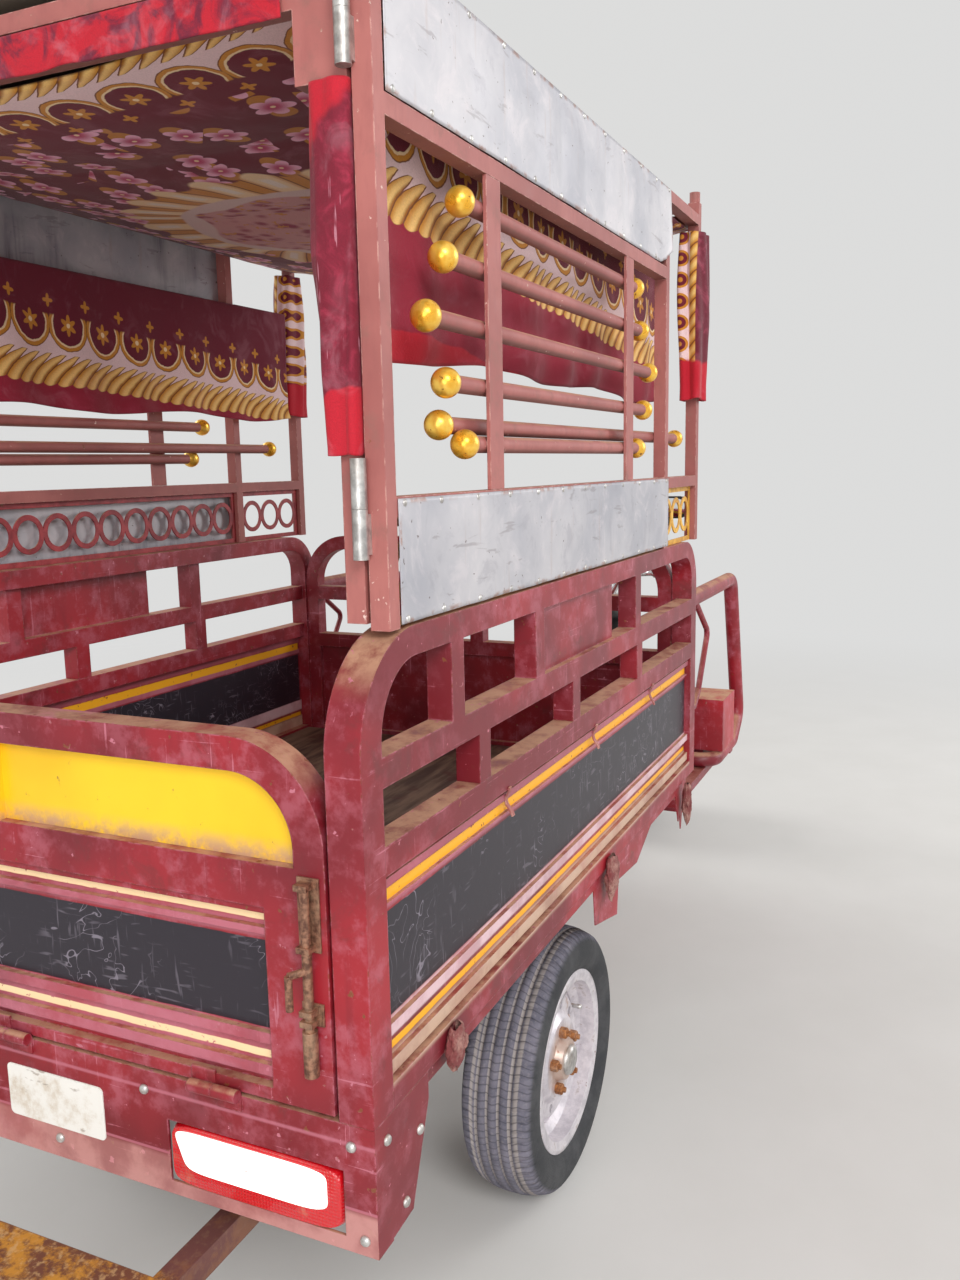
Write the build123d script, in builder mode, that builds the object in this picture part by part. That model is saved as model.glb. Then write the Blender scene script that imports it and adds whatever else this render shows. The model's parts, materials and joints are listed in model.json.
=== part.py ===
from build123d import *
import os
from math import cos, radians, sin, sqrt, tan

# Cargo motor tricycle: one steered wheel in front, two driven wheels under a fenced bed,
# and a canopy of welded tube with galvanised sheets, ring screens and rod screens.
# Millimetres. X forward, Y to the left, Z up from the ground.
# A station is a distance forward from the rear face of the bed.

os.makedirs("parts", exist_ok=True)

# Driving dimensions of the whole vehicle
bed_length = 1750.0
bed_width = 1250.0
cab_length = 1389.0
rear_axle_station = 889.0
rear_tyre_diameter = 540.0
rear_tyre_width = 155.0
front_tyre_diameter = 560.0
front_tyre_width = 130.0
wheel_inset = 40.0
step_reach = 205.0
running_clearance = 6.0
seat_gap = 0.3
shaft_clearance = 0.1

# Heights of the bed and its fence
sill_bottom = 670.0
sill_height = 37.0
bearer_height = 40.0
floor_sheet = 3.0
floor_recess = 7.0
rail = 40.0
lower_rail_top = 1030.0
lower_fence_gap = 76.0
upper_fence_gap = 114.0
hoop_tube = 52.0
hoop_rear_radius = 150.0
hoop_front_radius = 120.0

# Canopy
post_width = 28.0
post_depth = 26.0
rear_post_station = 84.0
front_bay = 284.0
ring_screen_height = 140.0
thin_rail = 26.0
upper_sheet_height = 172.0
roof_bottom = 2085.0
roof_tube = 25.0
sheet = 2.0

# Derived places
half_width = bed_width / 2
front_axle_station = bed_length + cab_length
front_end = front_axle_station + front_tyre_diameter / 2
rear_face_x = -(front_end - step_reach) / 2
rear_axle_height = rear_tyre_diameter / 2
front_axle_height = front_tyre_diameter / 2
floor_top = sill_bottom + sill_height - floor_recess
bearer_bottom = floor_top - floor_sheet - bearer_height
mid_rail_top = lower_rail_top + lower_fence_gap + rail
top_rail_top = mid_rail_top + upper_fence_gap + rail
roof_top = roof_bottom + roof_tube
low_thin_rail = top_rail_top + ring_screen_height
high_thin_rail = roof_top - upper_sheet_height - thin_rail
middle_post_station = bed_length - 2 * post_depth - front_bay
front_post_station = bed_length - post_depth


def side_plane(y):
    """Upright plane along the vehicle: local x is the station, local y is the height."""
    return Plane(origin=(rear_face_x, y, 0), x_dir=(1, 0, 0), z_dir=(0, -1, 0))


def cross_plane(station):
    """Upright plane across the vehicle: local x is Y, local y is the height."""
    return Plane(origin=(rear_face_x + station, 0, 0), x_dir=(0, 1, 0), z_dir=(1, 0, 0))


def level_plane(height):
    """Level plane: local x is the station, local y is Y."""
    return Plane(origin=(rear_face_x, 0, height), x_dir=(1, 0, 0), z_dir=(0, 0, 1))


def place(station, y, height):
    """A point of the vehicle in the part's own frame."""
    return Vector(rear_face_x + station, y, height)


def save(piece, name):
    piece.part.label = name
    export_step(piece.part, f"parts/{name}.step")


def rect(start_x, end_x, start_y, end_y, mode=Mode.ADD):
    """A rectangle of the current sketch, given by two opposite corners."""
    with Locations(((start_x + end_x) / 2, (start_y + end_y) / 2)):
        Rectangle(abs(end_x - start_x), abs(end_y - start_y), mode=mode)


def bar(start, end, radius, mode=Mode.ADD):
    """A round bar between two points, in the current part."""
    with BuildSketch(Plane(origin=start, z_dir=(end - start).normalized())) as section:
        Circle(radius)
    extrude(section.sketch, amount=(end - start).length, mode=mode)


def bent_tube(points, bend_radius, radius):
    """A round tube swept along straight runs joined by arcs, in the current part."""
    with BuildLine() as path:
        FilletPolyline(*points, radius=bend_radius)
    start = path.line @ 0
    with BuildSketch(Plane(origin=start, z_dir=path.line % 0)) as section:
        Circle(radius)
    sweep(sections=section.sketch, path=path.line)


# Chassis ladder under the bed

chassis_rail_spacing = 700.0
chassis_rail_width = 50.0
chassis_rail_height = 80.0
chassis_rear_station = 40.0
chassis_overhang = 40.0
cross_member_width = 50.0
cross_member_behind_axle = 329.0
cross_member_ahead_of_axle = 361.0
chassis_front_station = bed_length + chassis_overhang
cross_member_stations = (
    chassis_rear_station + cross_member_width / 2,
    rear_axle_station - cross_member_behind_axle,
    rear_axle_station + cross_member_ahead_of_axle,
    chassis_front_station - cross_member_width / 2,
)
chassis_top = bearer_bottom
chassis_bottom = chassis_top - chassis_rail_height
rail_y = chassis_rail_spacing / 2

with BuildPart() as chassis_rails:
    with BuildSketch(level_plane(chassis_bottom)):
        for side in (-1, 1):
            with Locations(((chassis_rear_station + chassis_front_station) / 2, side * rail_y)):
                Rectangle(chassis_front_station - chassis_rear_station, chassis_rail_width)
        for station in cross_member_stations:
            with Locations((station, 0)):
                Rectangle(cross_member_width, chassis_rail_spacing)
    extrude(amount=chassis_rail_height)
save(chassis_rails, "chassis_rails")

# Leaf springs and live rear axle

spring_half_span = 420.0
spring_rise = 130.0
leaf = 9.0
leaf_count = 4
leaf_step = 95.0
leaf_width = 60.0
axle_tube_radius = 34.0
hub_face_y = 392.0
spring_pad = 12.0
spring_pad_length = 110.0
spring_pad_margin = 10.0
spring_seat_height = rear_axle_height + axle_tube_radius + spring_pad
eye_radius = 19.0
hanger_thickness = 8.0
hanger_width = 60.0
wheel_y = half_width - wheel_inset - rear_tyre_width / 2

with BuildPart() as leaf_springs:
    for side in (-1, 1):
        spring_y = side * rail_y
        for number in range(leaf_count):
            half = spring_half_span - number * leaf_step
            rise = spring_rise * (half / spring_half_span) ** 2
            base = spring_seat_height + (leaf_count - 1 - number) * leaf
            with BuildSketch(side_plane(spring_y + leaf_width / 2)):
                with BuildLine():
                    ThreePointArc(
                        (rear_axle_station - half, base + rise),
                        (rear_axle_station, base),
                        (rear_axle_station + half, base + rise),
                    )
                    Line((rear_axle_station + half, base + rise),
                         (rear_axle_station + half, base + rise + leaf))
                    ThreePointArc(
                        (rear_axle_station + half, base + rise + leaf),
                        (rear_axle_station, base + leaf),
                        (rear_axle_station - half, base + rise + leaf),
                    )
                    Line((rear_axle_station - half, base + rise + leaf),
                         (rear_axle_station - half, base + rise))
                make_face()
            extrude(amount=leaf_width)
        eye_height = spring_seat_height + (leaf_count - 1) * leaf + spring_rise + leaf / 2
        for end in (-1, 1):
            eye_station = rear_axle_station + end * spring_half_span
            with BuildSketch(side_plane(spring_y + leaf_width / 2)):
                with Locations((eye_station, eye_height)):
                    Circle(eye_radius)
            extrude(amount=leaf_width)
            for face_y in (leaf_width / 2, -leaf_width / 2 - hanger_thickness):
                with BuildSketch(side_plane(spring_y + face_y + hanger_thickness)):
                    rect(eye_station - hanger_width / 2, eye_station + hanger_width / 2,
                         eye_height - eye_radius, chassis_bottom)
                extrude(amount=hanger_thickness)
save(leaf_springs, "leaf_springs")

axle_housing_radius = 105.0
axle_housing_width = 120.0
pinion_radius = 48.0
pinion_start = 90.0
pinion_length = 55.0
backing_plate_radius = 118.0
backing_plate = 5.0
spindle_radius = 17.0
spindle_tip = 57.0

with BuildPart() as rear_axle:
    axle_start = place(rear_axle_station, -hub_face_y, rear_axle_height)
    axle_end = place(rear_axle_station, hub_face_y, rear_axle_height)
    bar(axle_start, axle_end, axle_tube_radius)
    bar(place(rear_axle_station, -axle_housing_width / 2, rear_axle_height),
        place(rear_axle_station, axle_housing_width / 2, rear_axle_height), axle_housing_radius)
    bar(place(rear_axle_station + pinion_start, 0, rear_axle_height),
        place(rear_axle_station + pinion_start + pinion_length, 0, rear_axle_height), pinion_radius)
    for side in (-1, 1):
        inner = place(rear_axle_station, side * (hub_face_y - backing_plate), rear_axle_height)
        outer = place(rear_axle_station, side * hub_face_y, rear_axle_height)
        bar(inner, outer, backing_plate_radius)
        tip = place(rear_axle_station, side * (wheel_y + spindle_tip), rear_axle_height)
        bar(outer, tip, spindle_radius)
        with BuildSketch(level_plane(spring_seat_height - spring_pad - axle_tube_radius)):
            with Locations((rear_axle_station, side * rail_y)):
                Rectangle(spring_pad_length, leaf_width + 2 * spring_pad_margin)
        extrude(amount=axle_tube_radius + spring_pad)
save(rear_axle, "rear_axle")

# Wheels: a table of sizes for each, then one tyre and one deep-dished disc rim

bead_radius = 166.0
flange_radius = 183.0
front_bead_radius = 153.0
front_flange_radius = 168.0
front_axle_radius = 11.0
wheel_sizes = {
    "rear": dict(outer=rear_tyre_diameter / 2, half=rear_tyre_width / 2, bead_half=57.0,
                 bead=bead_radius, flange=flange_radius, bore=spindle_radius,
                 drum=94.0, drum_in=wheel_y - hub_face_y - running_clearance),
    "front": dict(outer=front_tyre_diameter / 2, half=front_tyre_width / 2, bead_half=47.0,
                  bead=front_bead_radius, flange=front_flange_radius, bore=front_axle_radius,
                  drum=74.0, drum_in=50.0),
}
tread_groove_width = 9.0
tread_groove_depth = 7.0
tread_groove_share = 0.42
shoulder_inset = 9.0
shoulder_width = 14.0
shoulder_drop = 9.0
rim_wall = 5.0
disc_wall = 6.0
lip_crest = 7.0
lip_rise = 2.0
lip_width = 9.0
lip_turn = 6.0
ledge_width = 28.0
bead_seat = 26.0
well_start = 38.0
weld_step = 4.0
weld_back = 6.0
ring_outer = 24.0
ring_inner = 50.0
back_ring_outer = 27.0
back_ring_inner = 52.0
dome_drop = 62.0
boss_flare = 8.0
well_depth = 16.0
disc_drop = 22.0
disc_setback = 44.0
disc_crown = 18.0
dome_rise = 30.0
boss_rise = 46.0
boss_radius = 40.0
vent_count = 10
vent_radius = 9.0
vent_inset = 38.5


def tyre_ring(size, station, y, height):
    """A tyre with round shoulders and three tread grooves, in the current part."""
    outer = size["outer"]
    half = size["half"]
    bead_half = size["bead_half"]
    bead = size["bead"]
    seat = size["flange"] + 1.0
    belly = (size["flange"] + outer) / 2
    shoulder = half - shoulder_inset
    tread = shoulder - shoulder_width
    low = outer - shoulder_drop
    with BuildSketch(cross_plane(station)) as profile:
        with BuildLine():
            Line((y - bead_half, height + bead), (y + bead_half, height + bead))
            Line((y + bead_half, height + bead), (y + bead_half, height + seat))
            ThreePointArc((y + bead_half, height + seat), (y + half, height + belly),
                          (y + shoulder, height + low))
            Line((y + shoulder, height + low), (y + tread, height + outer))
            Line((y + tread, height + outer), (y - tread, height + outer))
            Line((y - tread, height + outer), (y - shoulder, height + low))
            ThreePointArc((y - shoulder, height + low), (y - half, height + belly),
                          (y - bead_half, height + seat))
            Line((y - bead_half, height + seat), (y - bead_half, height + bead))
        make_face()
        for groove_y in (-half * tread_groove_share, 0.0, half * tread_groove_share):
            rect(y + groove_y - tread_groove_width / 2, y + groove_y + tread_groove_width / 2,
                 height + outer - tread_groove_depth, height + outer + 1.0, mode=Mode.SUBTRACT)
    revolve(profile.sketch, axis=Axis((rear_face_x + station, 0, height), (0, 1, 0)))


def disc_rim(size, station, y, height, outward):
    """A steel disc wheel, its dome and hub boss standing out of the dish; outward is a sign."""
    barrel = size["bead"] - seat_gap
    inner_barrel = barrel - rim_wall
    flange = size["flange"]
    edge = size["bead_half"] + seat_gap
    joint = edge - disc_setback
    disc_edge = barrel - disc_drop
    vent_face = joint + disc_crown
    back_face = vent_face - disc_wall
    dome_radius = disc_edge - dome_drop
    bore = size["bore"] + shaft_clearance

    def at(across, radius):
        return (y + outward * across, height + radius)

    with BuildSketch(cross_plane(station)) as profile:
        with BuildLine():
            Polyline(
                at(edge, barrel), at(edge, flange), at(edge + lip_crest, flange + lip_rise),
                at(edge + lip_width, flange - lip_turn), at(edge + rim_wall, inner_barrel),
                at(edge - ledge_width, inner_barrel), at(joint + weld_step, disc_edge),
                at(joint, disc_edge), at(vent_face, disc_edge - ring_outer),
                at(vent_face, disc_edge - ring_inner), at(joint + dome_rise, dome_radius),
                at(joint + dome_rise, boss_radius + boss_flare),
                at(joint + boss_rise, boss_radius), at(joint + boss_rise, bore),
                at(-size["drum_in"], bore), at(-size["drum_in"], size["drum"]),
                at(back_face, disc_edge - back_ring_inner),
                at(back_face, disc_edge - back_ring_outer), at(joint - weld_back, disc_edge),
                at(-joint - weld_step, disc_edge), at(-edge + ledge_width, inner_barrel),
                at(-edge - rim_wall, inner_barrel), at(-edge - lip_width, flange - lip_turn),
                at(-edge - lip_crest, flange + lip_rise), at(-edge, flange), at(-edge, barrel),
                at(-edge + bead_seat, barrel), at(-edge + well_start, barrel - well_depth),
                at(edge - well_start, barrel - well_depth), at(edge - bead_seat, barrel),
                close=True,
            )
        make_face()
    revolve(profile.sketch, axis=Axis((rear_face_x + station, 0, height), (0, 1, 0)))
    with BuildSketch(side_plane(y + outward * (vent_face + rim_wall))) as vents:
        with Locations((station, height)):
            with PolarLocations(disc_edge - vent_inset, vent_count):
                Circle(vent_radius)
    extrude(vents.sketch, amount=outward * disc_crown, mode=Mode.SUBTRACT)


wheels = (
    # name, size, station, y, height, sign of the outer face
    ("rear_right", "rear", rear_axle_station, -wheel_y, rear_axle_height, -1),
    ("rear_left", "rear", rear_axle_station, wheel_y, rear_axle_height, 1),
    ("front", "front", front_axle_station, 0.0, front_axle_height, -1),
)
for wheel_name, size_name, station, y, height, outward in wheels:
    with BuildPart() as tyre:
        tyre_ring(wheel_sizes[size_name], station, y, height)
    save(tyre, f"tyre_{wheel_name}")
    with BuildPart() as rim:
        disc_rim(wheel_sizes[size_name], station, y, height, outward)
    save(rim, f"rim_{wheel_name}")

# Bed floor on its cross bearers

bearer_count = 6
bearer_margin = 48.0
floor_rear = hoop_tube + running_clearance
floor_front = bed_length - hoop_tube
floor_half = half_width - rail
bearer_pitch = (floor_front - floor_rear - 2 * bearer_margin) / (bearer_count - 1)

with BuildPart() as bed_floor:
    with BuildSketch(level_plane(floor_top - floor_sheet)):
        rect(floor_rear, floor_front, -floor_half, floor_half)
    extrude(amount=floor_sheet)
    with BuildSketch(level_plane(bearer_bottom)):
        for number in range(bearer_count):
            with Locations((floor_rear + bearer_margin + number * bearer_pitch, 0)):
                Rectangle(bearer_height, 2 * floor_half)
    extrude(amount=bearer_height)
save(bed_floor, "bed_floor")

# Bed sides: sill, pressed panel with long ribs, and lower rail

panel_inset = 15.0
panel_sheet = 3.0
rib_table = (
    # height above the sill's bottom, height of the rib, depth
    (42.0, 20.0, 8.0),
    (96.0, 16.0, 8.0),
    (272.0, 5.0, 5.0),
    (300.0, 12.0, 8.0),
)
side_start = hoop_tube
side_end = bed_length - hoop_tube

for side_name, side in (("right", -1), ("left", 1)):
    face = side * half_width
    with BuildPart() as bed_side:
        with BuildSketch(side_plane(face)):
            rect(side_start, side_end, sill_bottom, sill_bottom + sill_height)
            rect(side_start, side_end, lower_rail_top - rail, lower_rail_top)
        extrude(amount=side * rail)
        with BuildSketch(side_plane(face - side * panel_inset)):
            rect(side_start, side_end, sill_bottom + sill_height, lower_rail_top - rail)
        extrude(amount=side * panel_sheet)
        for above_sill, rib_height, depth in rib_table:
            low = sill_bottom + above_sill
            with BuildSketch(side_plane(face - side * panel_inset)):
                rect(side_start, side_end, low, low + rib_height)
            extrude(amount=-side * depth)
    save(bed_side, f"bed_side_{side_name}")

# Fences: a hoop round each side, its middle rail, short posts and a name board left blank

upper_post_stations = (256.0, 580.0, 1176.0)
lower_post_stations = (345.0, 765.0, 1190.0)
board_start = 620.0
board_end = 1040.0
board_sheet = 4.0
board_inset = 12.0

for side_name, side in (("right", -1), ("left", 1)):
    face = side * half_width
    with BuildPart() as fence:
        with BuildSketch(side_plane(face)) as hoop:
            rect(0, bed_length, sill_bottom, top_rail_top)
            with BuildSketch(mode=Mode.PRIVATE) as inner:
                rect(hoop_tube, bed_length - hoop_tube, sill_bottom - 1.0, top_rail_top - rail)
            add(inner.sketch, mode=Mode.SUBTRACT)
            top_corners = hoop.vertices().filter_by_position(Axis.Y, top_rail_top, top_rail_top)
            fillet(top_corners.sort_by(Axis.X)[0], radius=hoop_rear_radius)
            top_corners = hoop.vertices().filter_by_position(Axis.Y, top_rail_top, top_rail_top)
            fillet(top_corners.sort_by(Axis.X)[-1], radius=hoop_front_radius)
            low_corners = hoop.vertices().filter_by_position(
                Axis.Y, top_rail_top - rail, top_rail_top - rail)
            fillet(low_corners.sort_by(Axis.X)[0], radius=hoop_rear_radius - hoop_tube)
            low_corners = hoop.vertices().filter_by_position(
                Axis.Y, top_rail_top - rail, top_rail_top - rail)
            fillet(low_corners.sort_by(Axis.X)[-1], radius=hoop_front_radius - hoop_tube)
        extrude(amount=side * hoop_tube)
        with BuildSketch(side_plane(face)):
            rect(hoop_tube, bed_length - hoop_tube, mid_rail_top - rail, mid_rail_top)
            for start in upper_post_stations:
                rect(start, start + rail, mid_rail_top, top_rail_top - rail)
            for start in lower_post_stations:
                rect(start, start + rail, lower_rail_top, mid_rail_top - rail)
        extrude(amount=side * rail)
        with BuildSketch(side_plane(face - side * board_inset)):
            rect(board_start, board_end, mid_rail_top, top_rail_top - rail)
        extrude(amount=side * board_sheet)
    save(fence, f"side_fence_{side_name}")

# Front board of the bed: a hoop with a middle rail and a pressed lower panel

front_inner_half = half_width - hoop_tube - seat_gap
front_hoop_radius = 140.0
front_panel_drop = 30.0
front_panel_top = lower_rail_top - front_panel_drop
front_frame_inset = 6.0
front_panel_inset = 20.0
front_post_pitch = 300.0
front_station = bed_length - hoop_tube

with BuildPart() as front_board:
    with BuildSketch(cross_plane(front_station + front_frame_inset)) as front_hoop:
        rect(-front_inner_half, front_inner_half, sill_bottom, top_rail_top)
        with BuildSketch(mode=Mode.PRIVATE) as front_gap:
            rect(-front_inner_half + rail, front_inner_half - rail,
                 front_panel_top, top_rail_top - rail)
            fillet(front_gap.vertices().group_by(Axis.Y)[-1], radius=front_hoop_radius - rail)
        add(front_gap.sketch, mode=Mode.SUBTRACT)
        fillet(front_hoop.vertices().group_by(Axis.Y)[-1], radius=front_hoop_radius)
        with BuildSketch(mode=Mode.PRIVATE) as panel_field:
            rect(-front_inner_half + rail, front_inner_half - rail,
                 sill_bottom + rail, front_panel_top - rail)
        add(panel_field.sketch, mode=Mode.SUBTRACT)
        rect(-front_inner_half + rail, front_inner_half - rail, mid_rail_top - rail, mid_rail_top)
        for number in (-1, 0, 1):
            post_y = number * front_post_pitch
            rect(post_y - rail / 2, post_y + rail / 2, front_panel_top, mid_rail_top - rail)
    extrude(amount=rail)
    with BuildSketch(cross_plane(front_station + front_panel_inset)):
        rect(-front_inner_half + rail, front_inner_half - rail,
             sill_bottom + rail, front_panel_top - rail)
    extrude(amount=panel_sheet)
save(front_board, "front_board")

# Canopy sides: posts that stand on the fence, with thin rails that carry the sheets

front_post_rise = 30.0
finial_radius = 13.0
finial_height = 26.0

for side_name, side in (("right", -1), ("left", 1)):
    face = side * half_width
    with BuildPart() as canopy_side:
        with BuildSketch(side_plane(face)):
            for start in (rear_post_station, middle_post_station):
                rect(start, start + post_depth, top_rail_top, roof_top)
            rect(front_post_station, bed_length, top_rail_top, roof_top + front_post_rise)
            rect(rear_post_station, bed_length, roof_bottom, roof_top)
            rect(rear_post_station, bed_length, low_thin_rail, low_thin_rail + thin_rail)
            rect(rear_post_station, middle_post_station, high_thin_rail, high_thin_rail + thin_rail)
        extrude(amount=side * post_width)
        with BuildSketch(level_plane(roof_top + front_post_rise)):
            with Locations((front_post_station + post_depth / 2, face - side * post_width / 2)):
                Circle(finial_radius)
        extrude(amount=finial_height)
    save(canopy_side, f"canopy_side_{side_name}")

roof_bar_count = 5
roof_inner_half = half_width - post_width - seat_gap
roof_bar_pitch = (bed_length - rail - rear_post_station) / (roof_bar_count - 1)

with BuildPart() as roof_bars:
    for number in range(roof_bar_count):
        with BuildSketch(cross_plane(rear_post_station + number * roof_bar_pitch)):
            rect(-roof_inner_half, roof_inner_half, roof_bottom, roof_top)
        extrude(amount=rail)
save(roof_bars, "roof_bars")

roof_cover_thickness = 6.0
roof_crown = 22.0
roof_cover_inset = 22.0
roof_cover_overhang = 12.0
roof_cover_half = half_width - roof_cover_inset
roof_cover_start = rear_post_station - roof_cover_overhang
roof_cover_end = front_post_station - running_clearance
cover_edge = roof_top + roof_cover_thickness

with BuildPart() as roof_cover:
    with BuildSketch(cross_plane(roof_cover_start)):
        with BuildLine():
            Line((-roof_cover_half, roof_top), (roof_cover_half, roof_top))
            Line((roof_cover_half, roof_top), (roof_cover_half, cover_edge))
            ThreePointArc((roof_cover_half, cover_edge), (0, cover_edge + roof_crown),
                          (-roof_cover_half, cover_edge))
            Line((-roof_cover_half, cover_edge), (-roof_cover_half, roof_top))
        make_face()
    extrude(amount=roof_cover_end - roof_cover_start)
save(roof_cover, "roof_cover")

# Galvanised sheets, two on each side, nailed to the outside of posts and rails

sheet_margin = 2.0
lower_sheet_rise = 4.0
lower_sheet_lap = 25.0
sheet_start = rear_post_station + post_depth + sheet_margin
sheet_end = middle_post_station + post_depth

with BuildPart() as lower_sheets:
    for side in (-1, 1):
        with BuildSketch(side_plane(side * half_width)):
            rect(sheet_start, sheet_end,
                 top_rail_top + lower_sheet_rise, low_thin_rail + lower_sheet_lap)
        extrude(amount=-side * sheet)
save(lower_sheets, "lower_sheets")

with BuildPart() as upper_sheets:
    for side in (-1, 1):
        with BuildSketch(side_plane(side * half_width)):
            rect(sheet_start, sheet_end, high_thin_rail + thin_rail, roof_top)
        extrude(amount=-side * sheet)
save(upper_sheets, "upper_sheets")

# Ring screens: a fretwork plate cut from sheet, standing on the fence behind the lower sheets

ring_bottom = top_rail_top + seat_gap
ring_top = low_thin_rail - seat_gap
ring_pitch = 86.0
ring_band = 11.0
ring_overlap = 1.0
ring_sheet = 3.0
ring_depth = 14.0
ring_frame = 12.0
ring_bays = (
    # start, end
    (rear_post_station + post_depth + seat_gap, middle_post_station - seat_gap),
    (middle_post_station + post_depth + seat_gap, front_post_station - seat_gap),
)

with BuildPart() as ring_screens:
    for side in (-1, 1):
        for start, end in ring_bays:
            clear = end - start - 2 * ring_frame
            count = round(clear / ring_pitch)
            pitch = clear / count
            with BuildSketch(side_plane(side * (half_width - ring_depth))):
                rect(start, end, ring_bottom, ring_top)
                rect(start + ring_frame, end - ring_frame, ring_bottom + ring_frame,
                     ring_top - ring_frame, mode=Mode.SUBTRACT)
                with Locations(((start + end) / 2, (ring_bottom + ring_top) / 2)):
                    with GridLocations(pitch, 1, count, 1):
                        Circle(pitch / 2 + ring_overlap)
                        Circle(pitch / 2 - ring_band, mode=Mode.SUBTRACT)
                rect(start, end, ring_bottom, ring_bottom + ring_frame)
                rect(start, end, ring_top - ring_frame, ring_top)
            extrude(amount=side * ring_sheet)
save(ring_screens, "ring_screens")

# Rod screens: two flat bars on each side with five rods behind them and one more inboard

flat_bar_width = 50.0
flat_bar = 6.0
flat_bar_stations = (404.0, 1100.0)
rod_radius = 12.5
ball_radius = 21.5
lowest_rod_rise = 67.0
highest_rod_drop = 46.0
rod_table = (
    # rear end after the rear post, front end before the middle post, from the top down
    (288.0, 214.0),
    (230.0, 174.0),
    (174.0, 102.0),
    (230.0, 144.0),
    (288.0, 196.0),
)
inner_rod_rise = 27.0
inner_rod_start = 249.0
inner_rod_ends = {-1: bed_length - 110.0, 1: bed_length - 210.0}
lowest_rod = low_thin_rail + thin_rail + lowest_rod_rise
highest_rod = high_thin_rail - highest_rod_drop
rod_pitch = (highest_rod - lowest_rod) / (len(rod_table) - 1)
inner_rod_height = lowest_rod + inner_rod_rise
rod_y = half_width - flat_bar - seat_gap - rod_radius
inner_rod_y = half_width - post_width - seat_gap - rod_radius
rods = []
for side in (-1, 1):
    for number, (after_post, before_post) in enumerate(rod_table):
        rods.append((rear_post_station + after_post, middle_post_station - before_post,
                     side * rod_y, highest_rod - number * rod_pitch))
    rods.append((rear_post_station + inner_rod_start, inner_rod_ends[side],
                 side * inner_rod_y, inner_rod_height))

with BuildPart() as rod_screens:
    for side in (-1, 1):
        for start in flat_bar_stations:
            with BuildSketch(side_plane(side * half_width)):
                rect(start, start + flat_bar_width,
                     low_thin_rail + thin_rail + seat_gap, high_thin_rail - seat_gap)
            extrude(amount=side * flat_bar)
    for rear_end, front_end_station, y, height in rods:
        bar(place(rear_end, y, height), place(front_end_station, y, height), rod_radius)
save(rod_screens, "rod_screens")

ball_offset = sqrt(ball_radius ** 2 - rod_radius ** 2)

with BuildPart() as screen_balls:
    for rear_end, front_end_station, y, height in rods:
        for rod_end, way in ((rear_end, -1), (front_end_station, 1)):
            with BuildSketch(side_plane(y)):
                with BuildLine():
                    base = rod_end + way * seat_gap
                    far = base + way * (ball_offset + ball_radius)
                    Line((base, height), (far, height))
                    ThreePointArc(
                        (far, height),
                        (base + way * ball_offset, height + ball_radius),
                        (base, height + rod_radius),
                    )
                    Line((base, height + rod_radius), (base, height))
                make_face()
            revolve(axis=Axis(place(0, y, height), (1, 0, 0)))
save(screen_balls, "screen_balls")

# Cloth inside the canopy, as plain closed solids

cloth = 12.0
ceiling_sag = 45.0
ceiling_start = rear_post_station + post_depth + cloth
ceiling_end = bed_length - cloth
ceiling_half = roof_inner_half - 2.0
ceiling_edge = roof_bottom - seat_gap
valance_start = ceiling_start + 8.0
valance_end = front_post_station - 69.0
right_valance_y = half_width - 66.0
left_valance_y = rod_y - ball_radius - 4.0
right_valance_drop = 435.0
left_valance_rise = 56.5
left_valance_foot = inner_rod_height + ball_radius + left_valance_rise

with BuildPart() as ceiling_blanket:
    with BuildSketch(cross_plane(ceiling_start)):
        with BuildLine():
            ThreePointArc((-ceiling_half, ceiling_edge - cloth),
                          (0, ceiling_edge - cloth - ceiling_sag),
                          (ceiling_half, ceiling_edge - cloth))
            Line((ceiling_half, ceiling_edge - cloth), (ceiling_half, ceiling_edge))
            ThreePointArc((ceiling_half, ceiling_edge), (0, ceiling_edge - ceiling_sag),
                          (-ceiling_half, ceiling_edge))
            Line((-ceiling_half, ceiling_edge), (-ceiling_half, ceiling_edge - cloth))
        make_face()
    extrude(amount=ceiling_end - ceiling_start)
save(ceiling_blanket, "ceiling_blanket")

sag_radius = (ceiling_half ** 2 + ceiling_sag ** 2) / (2 * ceiling_sag)


def under_ceiling(y):
    """The height just under the hanging blanket at a distance from the middle."""
    sag = sqrt(sag_radius ** 2 - y ** 2) - (sag_radius - ceiling_sag)
    return ceiling_edge - cloth - sag - seat_gap


right_valance_top = under_ceiling(right_valance_y - cloth)
left_valance_top = high_thin_rail + thin_rail + seat_gap + cloth

# The right valance hangs from the ceiling, the left one is folded over the upper thin rail
with BuildPart() as valances:
    with BuildSketch(side_plane(-right_valance_y)):
        rect(valance_start, valance_end, roof_bottom - right_valance_drop, right_valance_top)
    extrude(amount=-cloth)
    with BuildSketch(side_plane(left_valance_y)):
        rect(valance_start, valance_end, left_valance_foot, left_valance_top)
    extrude(amount=cloth)
    with BuildSketch(side_plane(half_width - seat_gap)):
        rect(valance_start, middle_post_station - running_clearance,
             left_valance_top - cloth, left_valance_top)
    extrude(amount=half_width - seat_gap - left_valance_y)
save(valances, "valances")

drape_rise = 73.5
drape_behind = 62.0
drape_ahead = 42.0
drape_outside = 30.0
drape_inside = 26.0
drape_corner = 20.0
drape_inner = half_width - post_width - drape_inside
drape_bottom = inner_rod_height + ball_radius + drape_rise

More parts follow.
